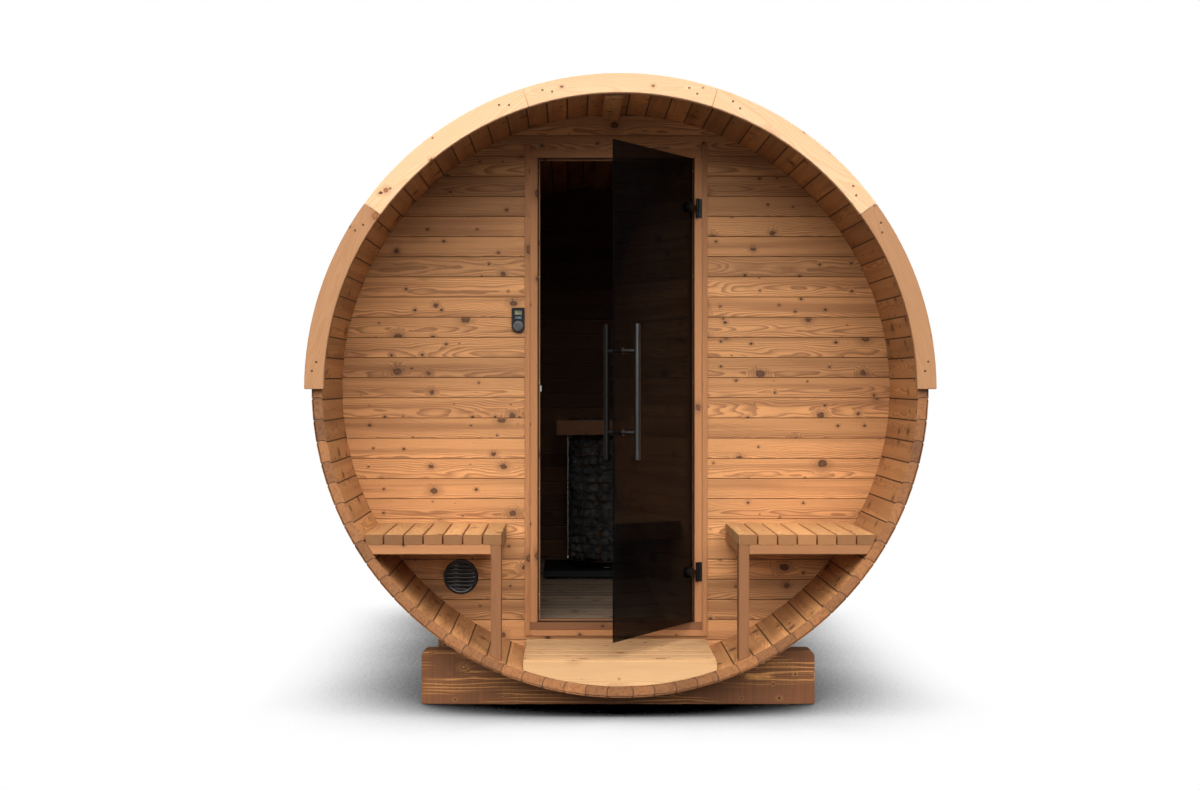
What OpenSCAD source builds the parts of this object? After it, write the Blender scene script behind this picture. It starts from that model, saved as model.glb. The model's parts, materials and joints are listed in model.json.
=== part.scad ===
// Barrel sauna: a lying wooden cylinder on cradles, with an open porch, a glass door and a stone heater.
// Millimetres. The origin is on the ground under the middle of the barrel; the porch faces -Y, +Z is up.

/* [Barrel] */
// Length of the staves from porch end to rear end
barrel_length = 3000; // [2400:50:4200]
// Outer diameter of the ring of staves
barrel_diameter = 2260; // [2160:10:2400]
// Thickness of the staves
stave_thickness = 40; // [34:1:50]
// Height of the barrel's underside above the ground
ground_clearance = 73; // [60:1:120]

/* [Cradles] */
// Length of each cradle beam, across the barrel
cradle_length = 1500; // [1300:10:1700]
// Height of each cradle beam
cradle_height = 204; // [180:1:260]
// Thickness of each cradle beam, along the barrel
cradle_thickness = 95; // [60:1:140]
// Distance from the stave ends to the outer face of the end cradles
cradle_inset = 250; // [150:10:450]
// Chamfer on the upper corners of a cradle
cradle_chamfer = 15; // [0:1:25]
// Number of cradles
cradle_count = 4; // [4:1:4]

/* [Fascia and roof] */
// Distance the fascia arch stands out past the staves
fascia_lift = 23; // [10:1:30]
// Width of the fascia boards, measured along the radius
fascia_width = 71; // [60:1:90]
// Thickness of the fascia boards
fascia_thickness = 28; // [18:1:34]
// Boards in one fascia arch
fascia_boards = 5; // [3:1:9]
// Thickness of the roof covering
roof_thickness = 5; // [2:0.5:8]
// Width of the steel bands
band_width = 30; // [20:1:50]
// Thickness of the steel bands
band_thickness = 1.2; // [0.8:0.1:2]
// Number of steel bands
band_count = 3; // [1:2:3]

/* [Walls] */
// Depth of the porch, from the stave ends to the front wall
porch_depth = 520; // [420:10:700]
// Thickness of the front and rear walls
wall_thickness = 40; // [28:1:50]
// Distance the staves reach past the rear wall
rear_overhang = 40; // [10:5:120]

/* [Door] */
// Clear width of the door opening
opening_width = 625; // [560:5:720]
// Clear height of the door opening
opening_height = 1848; // [1700:2:1856]
// Height of the sill above the room floor
sill_rise = 10; // [0:1:20]
// Face width of the jambs, head and sill
frame_face = 30; // [24:1:45]
// Depth of the door frame through the wall
frame_depth = 80; // [60:1:120]
// Distance the door frame stands proud of the wall
frame_proud = 6; // [0:1:12]
// Width of the trim strips beside the frame
trim_width = 21; // [12:1:40]
// Distance the trim strips stand proud of the wall
trim_proud = 11; // [8:1:20]
// Distance the trim strips reach past the top of the frame
trim_rise = 21; // [0:1:40]
// Width of the stop strips inside the frame
stop_width = 10; // [8:1:12]
// Depth of the stop strips
stop_depth = 20; // [12:1:30]
// Thickness of the glass
glass_thickness = 8; // [6:0.5:10]
// Gap all round between the glass and the frame
glass_gap = 5; // [5:0.5:8]
// Angle at which the door stands open
door_open = 58; // [0:1:100]
// Distance from the hinge axis to the jamb's inner edge
hinge_offset = 9.5; // [8:0.5:14]
// Distance from the ends of the opening to the middle of a hinge
hinge_inset = 202; // [100:2:400]
// Length of a hinge
hinge_length = 76; // [60:2:90]
// Diameter of the round glass clamps
clamp_diameter = 42; // [34:1:44]

/* [Handles] */
// Length of a handle tube
handle_length = 500; // [300:10:900]
// Distance between the handle posts
handle_centres = 300; // [200:10:700]
// Diameter of a handle tube
handle_diameter = 22; // [16:1:30]
// Diameter of the handle posts
post_diameter = 14; // [10:1:20]
// Clear distance between the glass and a handle tube
handle_reach = 50; // [35:1:60]
// Distance from the free edge of the glass to the handle tube's axis
handle_inset = 62; // [40:1:90]
// Height of the handle's middle above the sill
handle_height = 920; // [850:5:1050]

/* [Porch] */
// Width of the porch floor
deck_width = 710; // [600:5:760]
// Height of the porch floor above the lowest staves
deck_rise = 95; // [80:1:120]
// Thickness of all floor boards
board_thickness = 26; // [20:1:32]
// Boards in the porch floor
deck_boards = 5; // [4:1:7]
// Gap between floor boards
board_gap = 5; // [3:0.5:8]
// Thickness of the upright front board of the porch floor
deck_front_thickness = 28; // [18:1:34]
// Distance from the axis plane to the inner edge of a bench
bench_inner = 436; // [420:2:480]
// Height of the bench above the porch floor
bench_height = 461; // [380:2:520]
// Width of a bench slat
slat_width = 66; // [50:1:80]
// Thickness of a bench slat
slat_thickness = 37; // [28:1:44]
// Gap between bench slats
slat_gap = 6.5; // [5:0.5:8]
// Height of the bench rails
rail_height = 35; // [28:1:60]
// Thickness of the bench rails and face width of the leg
rail_thickness = 38; // [28:1:45]
// Depth of the bench leg, front to back
leg_depth = 68; // [40:1:90]

/* [Room] */
// Height of the room floor above the lowest staves
floor_rise = 150; // [130:1:160]
// Width of the room floor boards, front to back
floor_board_width = 95; // [80:1:120]
// Width of the floor joists
joist_width = 45; // [35:1:60]
// Distance between the floor joists
joist_spacing = 340; // [280:10:380]
// Width of the ridge batten
batten_width = 68; // [50:1:90]
// Thickness of the ridge batten
batten_thickness = 20; // [12:1:28]

/* [Heater] */
// Distance from the stave ends to the middle of the heater
heater_depth = 2230; // [2000:10:2300]
// Diameter of the wire basket
basket_diameter = 398; // [330:2:440]
// Height of the wire basket
basket_height = 700; // [550:10:800]
// Thickness of the basket wall
basket_wall = 4; // [3:0.5:6]
// Width of the tray under the heater
tray_width = 620; // [480:10:720]
// Depth of the tray, front to back
tray_depth = 500; // [460:10:560]
// Thickness of the tray
tray_thickness = 30; // [15:1:40]
// Height of the feet of the tray
tray_foot = 14; // [8:1:25]
// Height of the heater's foot ring
foot_height = 34; // [20:1:60]
// Width of the guard rail round the heater
guard_width = 496; // [480:2:560]
// Height of the guard board
guard_height = 72; // [50:1:95]
// Thickness of the guard boards
guard_thickness = 26; // [18:1:32]

/* [Fittings] */
// Outer diameter of the vent's flange
vent_diameter = 138; // [120:2:160]
// Diameter of the hole behind the vent
vent_bore = 110; // [80:2:112]
// Distance from the axis plane to the vent
vent_side = 617; // [580:1:660]
// Height of the vent above the porch floor
vent_rise = 246; // [230:1:300]
// Thickness of the vent's flange
vent_thickness = 8; // [4:1:14]
// Width of the control unit
control_width = 51; // [40:1:70]
// Height of the control unit
control_height = 99; // [80:1:130]
// Thickness of the control unit
control_thickness = 14; // [8:1:24]
// Height of the control unit's underside above the sill
control_rise = 1152; // [1000:5:1300]

/* [Hidden] */
$fn = 96;
ring_fn = 360;          // fineness of the circles of the barrel itself

// Clearances and small fixed details
fit = 0.3;              // gap between curved faces that sit together
end_gap = 3;            // gap between a board's end and the face it meets
fascia_joint = 1;       // open joint between fascia boards
deck_edge = 2;          // gap between the front board and the first floor board
catch_height = 24;      // height of the door catch
batten_side = -22;      // place of the ridge batten beside the axis plane
dial_radius = 18.5;     // control unit's dial
dial_thickness = 5;     // distance the dial stands proud
screen_margin = 8;      // frame round the control unit's screen
louvre_pitch = 15;      // distance between louvres
louvre_thickness = 3;   // thickness of a louvre
rim_width = 13;         // width of the vent's flange ring
post_washer = 26;       // diameter of the washer between post and glass
washer_thickness = 3;   // thickness of that washer
clamp_thickness = 10;   // thickness of a glass clamp
knuckle_radius = 6;     // radius of a hinge knuckle
leaf_thickness = 4;     // thickness of a hinge leaf
foot_diameter = 30;     // diameter of the tray's feet
bearer_width = 45;      // width of the porch floor bearers
bearer_spacing = 480;   // distance between the porch floor bearers
guard_joint = 12;       // distance the heater stands off the guard's front
wood = "peru";
light_wood = "burlywood";
dark_wood = "saddlebrown";
metal = "dimgray";

// Radii
outer_radius = barrel_diameter / 2;
inner_radius = outer_radius - stave_thickness;
axis_height = outer_radius + ground_clearance;
fit_radius = inner_radius - fit;
band_radius = outer_radius + fit;
roof_radius = band_radius + band_thickness + fit;
fascia_outer_radius = outer_radius + fascia_lift;
fascia_inner_radius = fascia_outer_radius - fascia_width;
segment_angle = 360 / 8;

// Places along the barrel
front_end = -barrel_length / 2;
rear_end = barrel_length / 2;
wall_front = front_end + porch_depth;
wall_back = wall_front + wall_thickness;
rear_wall_back = rear_end - rear_overhang;
rear_wall_front = rear_wall_back - wall_thickness;
cradle_travel = barrel_length - 2 * cradle_inset - cradle_thickness;
cradle_pitch = cradle_travel / (cradle_count - 1);
heater_y = front_end + heater_depth;

// Floors, as heights measured from the axis
deck_top = deck_rise - inner_radius;
floor_top = floor_rise - inner_radius;

// Door, with heights measured from the axis
sill_top = floor_top + sill_rise;
head_bottom = sill_top + opening_height;
half_opening = opening_width / 2;
half_frame = half_opening + frame_face;
frame_front = wall_front - frame_proud;
frame_back = frame_front + frame_depth;
frame_top = head_bottom + frame_face;
frame_bottom = sill_top - frame_face;
strip_height = 24;
pivot_x = half_opening + hinge_offset;
pivot_y = frame_front - leaf_thickness - knuckle_radius;
glass_front = frame_front - pivot_y + 2;
glass_back = glass_front + glass_thickness;
glass_hinge_edge = -(hinge_offset + glass_gap);
glass_free_edge = -(hinge_offset + opening_width - glass_gap);
stop_front = pivot_y + glass_back + 5;
clamp_x = -(hinge_offset + stop_width + clamp_diameter / 2 + 5.5);
handle_x = glass_free_edge + handle_inset;
handle_z = sill_top + handle_height;
hinge_heights = [sill_top + hinge_inset, head_bottom - hinge_inset];

// Benches and heater, with heights measured from the axis
deck_back = wall_front - trim_proud - 2;
bench_top = deck_top + bench_height;
rail_top = bench_top - slat_thickness;
slat_pitch = slat_width + slat_gap;
bench_back = wall_front - end_gap;
bench_front = front_end + 10;
bench_reach = sqrt(fit_radius * fit_radius - pow(bench_top - slat_thickness / 2, 2));
slat_count = ceil((bench_reach - bench_inner - 15) / slat_pitch);
tray_top = floor_top + tray_foot + tray_thickness;
basket_top = tray_top + foot_height + basket_height;
stones_radius = basket_diameter / 2 - basket_wall - fit;

// Extrudes a shape drawn in the X-Z plane, with the axis as its origin, from y0 to y1
module along(y0, y1) {
  translate([0, y1, axis_height])
    rotate([90, 0, 0])
      linear_extrude(y1 - y0)
        children();
}

// A block from corner a to corner b, with heights measured from the axis
module block(a, b) {
  translate([a[0], a[1], a[2] + axis_height])
    cube([b[0] - a[0], b[1] - a[1], b[2] - a[2]]);
}

// An upright cylinder that stands on height z0, measured from the axis
module post(x, y, z0, z1, radius) {
  translate([x, y, z0 + axis_height])
    cylinder(h = z1 - z0, r = radius);
}

// A pie slice wide enough to cover the whole barrel
module slice(a0, a1) {
  reach = 2 * outer_radius;
  mid = (a0 + a1) / 2;
  polygon([[0, 0], for (a = [a0, mid, a1]) reach * [cos(a), sin(a)]]);
}

// A part of a ring between two radii and two angles
module arc_band(r0, r1, a0, a1) {
  intersection() {
    difference() {
      circle(r = r1, $fn = ring_fn);
      circle(r = r0, $fn = ring_fn);
    }
    slice(a0, a1);
  }
}

// The round space inside the staves, with room for a fit
module bore_profile() {
  circle(r = fit_radius, $fn = ring_fn);
}

// Keeps what lies inside the staves
module inside_barrel() {
  intersection() {
    along(front_end - 1, rear_end + 1) bore_profile();
    children();
  }
}

// Staves
module stave_segment(centre) {
  half = segment_angle / 2;
  color(wood)
    along(front_end, rear_end)
      arc_band(inner_radius, outer_radius, centre - half, centre + half);
}

// Cradles
module cradle(index) {
  y0 = front_end + cradle_inset + index * cradle_pitch;
  half = cradle_length / 2;
  top = cradle_height - axis_height;
  c = cradle_chamfer;
  color(dark_wood)
    along(y0, y0 + cradle_thickness)
      difference() {
        polygon([
          [-half, -axis_height], [half, -axis_height], [half, top - c],
          [half - c, top], [c - half, top], [-half, top - c]
        ]);
        circle(r = outer_radius + fit, $fn = ring_fn);
      }
}

// Fascia arches on both ends of the upper staves
module fascia(y0) {
  step = 180 / fascia_boards;
  joint = fascia_joint / fascia_outer_radius * 90 / PI;
  color(light_wood)
    along(y0, y0 + fascia_thickness)
      for (i = [0 : fascia_boards - 1])
        arc_band(fascia_inner_radius, fascia_outer_radius,
                 i * step + (i == 0 ? 0 : joint),
                 (i + 1) * step - (i == fascia_boards - 1 ? 0 : joint));
}

// Covering over the upper half of the barrel
module roof_covering() {
  color("darkslategray")
    along(front_end, rear_end)
      arc_band(roof_radius, roof_radius + roof_thickness, 0, 180);
}

// Steel bands that pull the staves together
module steel_bands() {
  spread = cradle_pitch;
  color("silver")
    for (i = [0 : band_count - 1]) {
      y = (i - (band_count - 1) / 2) * spread;
      along(y - band_width / 2, y + band_width / 2)
        difference() {
          circle(r = band_radius + band_thickness, $fn = ring_fn);
          circle(r = band_radius, $fn = ring_fn);
        }
    }
}

// Front wall, in four pieces round the door frame
module wall_panel(x0, x1, z0, z1) {
  along(wall_front, wall_back)
    intersection() {
      bore_profile();
      translate([x0, z0]) square([x1 - x0, z1 - z0]);
    }
}

module front_wall_left() {
  color(wood)
    difference() {
      wall_panel(-outer_radius, -half_frame, -outer_radius, outer_radius);
      along(wall_front - 1, wall_back + 1)
        translate([-vent_side, deck_top + vent_rise]) circle(d = vent_bore);
    }
}

module front_wall_right() {
  color(wood) wall_panel(half_frame, outer_radius, -outer_radius, outer_radius);
}

module front_wall_head() {
  color(wood) wall_panel(-half_frame, half_frame, frame_top, outer_radius);
}

module front_wall_base() {
  color(wood) wall_panel(-half_frame, half_frame, -outer_radius, frame_bottom);
}

module rear_wall() {
  color(wood) along(rear_wall_front, rear_wall_back) bore_profile();
}

// Door frame
module door_jamb(side) {
  x0 = side > 0 ? half_opening : -half_frame;
  color(light_wood)
    block([x0, frame_front, sill_top], [x0 + frame_face, frame_back, head_bottom]);
}

module door_head() {
  color(light_wood)
    block([-half_frame, frame_front, head_bottom], [half_frame, frame_back, frame_top]);
}

module door_sill() {
  color(light_wood)
    block([-half_frame, frame_front, frame_bottom], [half_frame, frame_back, sill_top]);
}

module door_trim() {
  color(light_wood)
    for (x0 = [-half_frame - trim_width, half_frame])
      block([x0, wall_front - trim_proud, frame_bottom - strip_height],
            [x0 + trim_width, wall_front, frame_top + trim_rise]);
}

// Strips that the closed glass stands in front of
module door_stop() {
  w = stop_width;
  along(stop_front, stop_front + stop_depth) {
    color(light_wood)
      for (x0 = [-half_opening, half_opening - w])
        translate([x0, sill_top]) square([w, opening_height]);
    color(light_wood)
      for (z0 = [sill_top, head_bottom - w])
        translate([-half_opening + w + 1, z0]) square([opening_width - 2 * w - 2, w]);
  }
}

module door_catch() {
  x0 = -half_opening + stop_width;
  color("silver")
    block([x0, stop_front, -catch_height / 2], [x0 + 6, stop_front + 16, catch_height / 2]);
}

module threshold_strip() {
  color(light_wood)
    block([-half_frame, wall_front - trim_proud, frame_bottom - strip_height],
          [half_frame, wall_front, frame_bottom]);
}

// Places what is drawn for the closed door, relative to the hinge axis, at the door's angle
module on_door() {
  translate([pivot_x, pivot_y, 0])
    rotate([0, 0, door_open])
      children();
}

module door_glass() {
  color("dimgray", 0.5)
    on_door()
      block([glass_free_edge, glass_front, sill_top + glass_gap],
            [glass_hinge_edge, glass_back, head_bottom - glass_gap]);
}

// A handle tube on two posts; side is -1 in front of the glass and +1 behind it
module door_handle(side) {
  face = side < 0 ? glass_front : glass_back;
  tube_y = face + side * (handle_reach + handle_diameter / 2);
  color(metal)
    on_door() {
      post(handle_x, tube_y, handle_z - handle_length / 2, handle_z + handle_length / 2,
           handle_diameter / 2);
      for (dz = [-handle_centres / 2, handle_centres / 2])
        translate([handle_x, face, axis_height + handle_z + dz])
          rotate([-90 * side, 0, 0]) {
            cylinder(h = handle_reach + handle_diameter / 2, d = post_diameter);
            cylinder(h = washer_thickness, d = post_washer);
          }
    }
}

// Round clamps that carry the glass, with the middle knuckle of each hinge
module door_clamps() {
  color(metal)
    on_door()
      for (z = hinge_heights)
        translate([0, 0, z + axis_height]) {
          cylinder(h = hinge_length / 3 - 1, r = knuckle_radius, center = true);
          translate([clamp_x, -3, -9]) cube([-clamp_x, 6, 18]);
          translate([clamp_x, -4, 0]) rotate([-90, 0, 0])
            cylinder(h = glass_front + 4, d = clamp_diameter);
          translate([clamp_x, glass_back, 0]) rotate([-90, 0, 0])
            cylinder(h = clamp_thickness, d = clamp_diameter);
        }
}

// Hinge leaves screwed to the right jamb, with the outer knuckles
module hinge_leaves() {
  knuckle = hinge_length / 3;
  color(metal)
    for (z = hinge_heights)
      translate([pivot_x, pivot_y, z + axis_height]) {
        for (end = [-1, 1])
          translate([0, 0, end * knuckle]) {
            cylinder(h = knuckle, r = knuckle_radius, center = true);
            translate([0, 0, -knuckle / 2]) cube([knuckle_radius, knuckle_radius, knuckle]);
          }
        translate([2, knuckle_radius, -hinge_length / 2])
          cube([frame_face - hinge_offset - 3, leaf_thickness, hinge_length]);
      }
}

// Porch floor
module porch_floor_boards() {
  start = front_end + deck_front_thickness + deck_edge;
  pitch = (deck_back - start + board_gap) / deck_boards;
  color(light_wood)
    inside_barrel()
      for (i = [0 : deck_boards - 1])
        block([-deck_width / 2, start + i * pitch, deck_top - board_thickness],
              [deck_width / 2, start + (i + 1) * pitch - board_gap, deck_top]);
}

module porch_floor_front() {
  color(light_wood)
    inside_barrel()
      block([-deck_width / 2, front_end, -outer_radius],
            [deck_width / 2, front_end + deck_front_thickness, deck_top]);
}

module porch_floor_bearers() {
  color(wood)
    inside_barrel()
      for (x = [-bearer_spacing / 2, bearer_spacing / 2])
        block([x - bearer_width / 2, front_end + deck_front_thickness + deck_edge, -outer_radius],
              [x + bearer_width / 2, wall_front - end_gap, deck_top - board_thickness]);
}

// Porch benches; side is -1 on the left and +1 on the right
module bench_slats(side) {
  color(wood)
    inside_barrel()
      for (i = [0 : slat_count - 1]) {
        near = bench_inner + i * slat_pitch;
        // the last slat is cut to the staves
        width = i == slat_count - 1 ? outer_radius - near : slat_width;
        x0 = side > 0 ? near : -near - width;
        block([x0, bench_front, rail_top], [x0 + width, bench_back, bench_top]);
      }
}

module bench_frame(side) {
  x_leg = side > 0 ? bench_inner : -bench_inner - rail_thickness;
  x_rail = side > 0 ? bench_inner : -outer_radius;
  rail_span = outer_radius - bench_inner;
  rail_bottom = rail_top - rail_height;
  color(wood)
    inside_barrel() {
      for (y0 = [bench_front, bench_back - rail_thickness])
        block([x_rail, y0, rail_bottom], [x_rail + rail_span, y0 + rail_thickness, rail_top]);
      block([x_leg, bench_front, rail_bottom], [x_leg + rail_thickness, bench_back, rail_top]);
      block([x_leg, bench_front, -outer_radius],
            [x_leg + rail_thickness, bench_front + leg_depth, rail_top]);
    }
}

// Room floor
module room_floor_boards() {
  start = frame_back + end_gap;
  room = rear_wall_front - end_gap - start;
  count = floor((room + board_gap) / (floor_board_width + board_gap));
  pitch = (room + board_gap) / count;
  color(wood)
    inside_barrel()
      for (i = [0 : count - 1])
        block([-outer_radius, start + i * pitch, floor_top - board_thickness],
              [outer_radius, start + (i + 1) * pitch - board_gap, floor_top]);
}

module room_floor_joists() {
  color(wood)
    inside_barrel()
      for (x = [-joist_spacing, 0, joist_spacing])
        block([x - joist_width / 2, wall_back + end_gap, -outer_radius],
              [x + joist_width / 2, rear_wall_front - end_gap, floor_top - board_thickness]);
}

// Batten along the ceiling, in the porch and in the room
module ridge_batten() {
  x0 = batten_side - batten_width / 2;
  bottom = inner_radius - batten_thickness - 1;
  color(wood)
    inside_barrel() {
      block([x0, front_end + end_gap, bottom], [x0 + batten_width, wall_front - fit, outer_radius]);
      block([x0, wall_back + fit, bottom], [x0 + batten_width, rear_wall_front - fit, outer_radius]);
    }
}

// Heater
module heater_tray() {
  x = tray_width / 2;
  y = tray_depth / 2;
  inset = foot_diameter;
  color(metal) {
    block([-x, heater_y - y, floor_top + tray_foot], [x, heater_y + y, tray_top]);
    for (fx = [-x + inset, x - inset], fy = [-y + inset, y - inset])
      post(fx, heater_y + fy, floor_top, floor_top + tray_foot, foot_diameter / 2);
  }
}

module heater_basket() {
  base = tray_top + foot_height;
  color("silver")
    translate([0, heater_y, base + axis_height]) {
      difference() {
        cylinder(h = basket_height, d = basket_diameter);
        translate([0, 0, basket_wall])
          cylinder(h = basket_height, d = basket_diameter - 2 * basket_wall);
      }
      translate([0, 0, -foot_height])
        cylinder(h = foot_height, d1 = basket_diameter * 0.62, d2 = basket_diameter * 0.34);
    }
}

module heater_stones() {
  base = tray_top + foot_height + basket_wall;
  color("slategray") post(0, heater_y, base, base + basket_height, stones_radius);
}

module heater_guard() {
  x = guard_width / 2;
  y0 = heater_y - basket_diameter / 2 - guard_joint - guard_thickness;
  z0 = basket_top - guard_height;
  z1 = basket_top;
  color(wood) {
    block([-x, y0, z0], [x, y0 + guard_thickness, z1]);
    for (x0 = [-x, x - guard_thickness])
      block([x0, y0, z0], [x0 + guard_thickness, rear_wall_front, z1]);
  }
}

// Fittings on the front wall
module vent_grille() {
  hole = vent_diameter - 2 * rim_width;
  rows = floor((hole / 2 - 4) / louvre_pitch);
  color("black")
    along(wall_front - vent_thickness, wall_front)
      translate([-vent_side, deck_top + vent_rise]) {
        difference() {
          circle(d = vent_diameter);
          circle(d = hole);
        }
        intersection() {
          circle(d = hole + 2);
          for (i = [-rows : rows])
            translate([-hole, i * louvre_pitch - louvre_thickness / 2])
              square([2 * hole, louvre_thickness]);
        }
      }
}

module control_unit() {
  r = control_width / 2;
  x = -half_frame - trim_width - r;
  dial_z = sill_top + control_rise + r;
  color("black") {
    along(wall_front - control_thickness, wall_front)
      translate([x, dial_z]) {
        circle(r = r);
        translate([-r, 0]) square([control_width, control_height - r]);
      }
    along(wall_front - control_thickness - dial_thickness, wall_front - control_thickness)
      translate([x, dial_z]) circle(r = dial_radius);
  }
}

stave_segment(270);  // staves_bottom
stave_segment(315);  // staves_lower_right
stave_segment(0);  // staves_right
stave_segment(45);  // staves_upper_right
stave_segment(90);  // staves_crown
stave_segment(135);  // staves_upper_left
stave_segment(180);  // staves_left
stave_segment(225);  // staves_lower_left
cradle(0);  // cradle_front
cradle(1);  // cradle_front_middle
cradle(2);  // cradle_rear_middle
cradle(3);  // cradle_rear
fascia(front_end - fascia_thickness);  // front_fascia
fascia(rear_end);  // rear_fascia
roof_covering();
steel_bands();
front_wall_left();
front_wall_right();
front_wall_head();
front_wall_base();
rear_wall();
door_jamb(-1);  // door_jamb_left
door_jamb(1);  // door_jamb_right
door_head();
door_sill();
door_trim();
door_stop();
door_catch();
threshold_strip();
door_glass();
door_handle(-1);  // door_handle_outer
door_handle(1);  // door_handle_inner
door_clamps();
hinge_leaves();
porch_floor_boards();
porch_floor_front();
porch_floor_bearers();
bench_slats(-1);  // bench_left_slats
bench_frame(-1);  // bench_left_frame
bench_slats(1);  // bench_right_slats
bench_frame(1);  // bench_right_frame
room_floor_boards();
room_floor_joists();
ridge_batten();
heater_tray();
heater_basket();
heater_stones();
heater_guard();
vent_grille();
control_unit();
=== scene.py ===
# %% [markdown]
# # Finishing a barrel sauna
# The building lies on its side like a barrel: a ring of 88 staves on four cradle beams, with an open
# porch at one end. Its solid parts arrive as a fixed frame. These cells put real boards, screws,
# stones and finishes round that frame. Places and outer sizes come from the frame's own boxes, and
# only small details are sized here, so nothing drifts away from the building.

import json
import math
import random

import bmesh
import bpy
from mathutils import Matrix, Vector

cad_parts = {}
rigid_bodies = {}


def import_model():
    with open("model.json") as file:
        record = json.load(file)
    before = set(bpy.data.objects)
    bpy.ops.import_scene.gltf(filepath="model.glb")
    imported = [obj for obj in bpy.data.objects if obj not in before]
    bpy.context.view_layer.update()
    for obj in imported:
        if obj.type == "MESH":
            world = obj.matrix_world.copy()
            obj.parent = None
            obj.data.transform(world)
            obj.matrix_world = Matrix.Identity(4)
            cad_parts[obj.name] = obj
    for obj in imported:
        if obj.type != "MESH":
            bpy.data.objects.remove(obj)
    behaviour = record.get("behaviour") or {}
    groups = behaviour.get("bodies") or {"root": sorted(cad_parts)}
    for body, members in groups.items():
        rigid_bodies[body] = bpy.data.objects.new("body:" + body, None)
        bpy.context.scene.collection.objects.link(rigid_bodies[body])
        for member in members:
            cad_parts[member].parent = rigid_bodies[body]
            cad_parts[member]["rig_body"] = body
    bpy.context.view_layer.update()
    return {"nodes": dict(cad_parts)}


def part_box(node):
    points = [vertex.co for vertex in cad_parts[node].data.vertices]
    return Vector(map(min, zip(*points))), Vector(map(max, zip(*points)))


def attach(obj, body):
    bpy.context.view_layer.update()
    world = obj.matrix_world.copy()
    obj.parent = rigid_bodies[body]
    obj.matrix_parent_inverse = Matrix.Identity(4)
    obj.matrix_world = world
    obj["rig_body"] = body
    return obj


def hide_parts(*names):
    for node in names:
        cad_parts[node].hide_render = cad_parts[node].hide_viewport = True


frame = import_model()

# %% [markdown]
# The few measures that everything hangs on: the barrel's axis, its outer and inner radius, and its
# two ends. The crown and bottom pieces of the frame touch the outer circle, and the crown's nearest
# points lie on the inner one.

# %% Measure the barrel
STAVES = 88
STAVE_TURN = math.tau / STAVES


def low(node):
    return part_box(node)[0]


def high(node):
    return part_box(node)[1]


AXIS = (high("staves_crown").z + low("staves_bottom").z) / 2
crown = frame["nodes"]["staves_crown"].data.vertices
reaches = [math.hypot(v.co.x, v.co.z - AXIS) for v in crown]
OUTER, INNER = max(reaches), min(reaches)
SNUG = INNER - 0.0004
FRONT, BACK = low("staves_crown").y, high("staves_crown").y
HUB = (0, 0, AXIS)
print("outer", round(OUTER, 4), "inner", round(INNER, 4), "axis", round(AXIS, 4))

# %% [markdown]
# ## Node helpers
# Finishes, the sky and the shapes that repeat are all networks of small nodes. One class keeps them
# readable: it adds a node and fills its sockets, and it adds sums. A colour is written as three
# numbers from 0 to 255, as paint charts give it, and is turned into the linear light that the
# renderer works in.


# %% Write the node helpers
def colour(red, green, blue):
    """A paint-chart colour as linear light."""
    linear = [c / 255 / 12.92 if c < 11 else ((c / 255 + 0.055) / 1.055) ** 2.4
              for c in (red, green, blue)]
    return (*linear, 1.0)


def grey(level):
    """A neutral colour from its linear level."""
    return (level, level, level, 1.0)


def plug(node, sockets):
    """Fills a node's inputs with plain values, or links them to another node's output."""
    for key, value in sockets.items():
        if isinstance(value, bpy.types.NodeSocket):
            node.id_data.links.new(value, node.inputs[key])
        else:
            node.inputs[key].default_value = value
    return node


class Graph:
    """A node tree under construction. Every node kind starts with prefix."""

    prefix = "ShaderNode"

    def __init__(self, tree):
        self.tree = tree

    def node(self, kind, sockets=None, **settings):
        made = self.tree.nodes.new(self.prefix + kind)
        for key, value in settings.items():
            setattr(made, key, value)
        return plug(made, sockets or {})

    def math(self, work, a, b=0.0, clamp=False):
        made = self.tree.nodes.new("ShaderNodeMath")
        made.operation, made.use_clamp = work, clamp
        return plug(made, {0: a, 1: b}).outputs[0]

    def plus(self, total, *others):
        for other in others:
            total = self.math("ADD", total, other)
        return total

    def times(self, total, *others):
        for other in others:
            total = self.math("MULTIPLY", total, other)
        return total

    def minus(self, a, b):
        return self.math("SUBTRACT", a, b)

    def sway(self, value, size):
        """A value from 0 to 1 as a swing about nothing, size wide in all."""
        return self.times(self.minus(value, 0.5), size)


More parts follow.
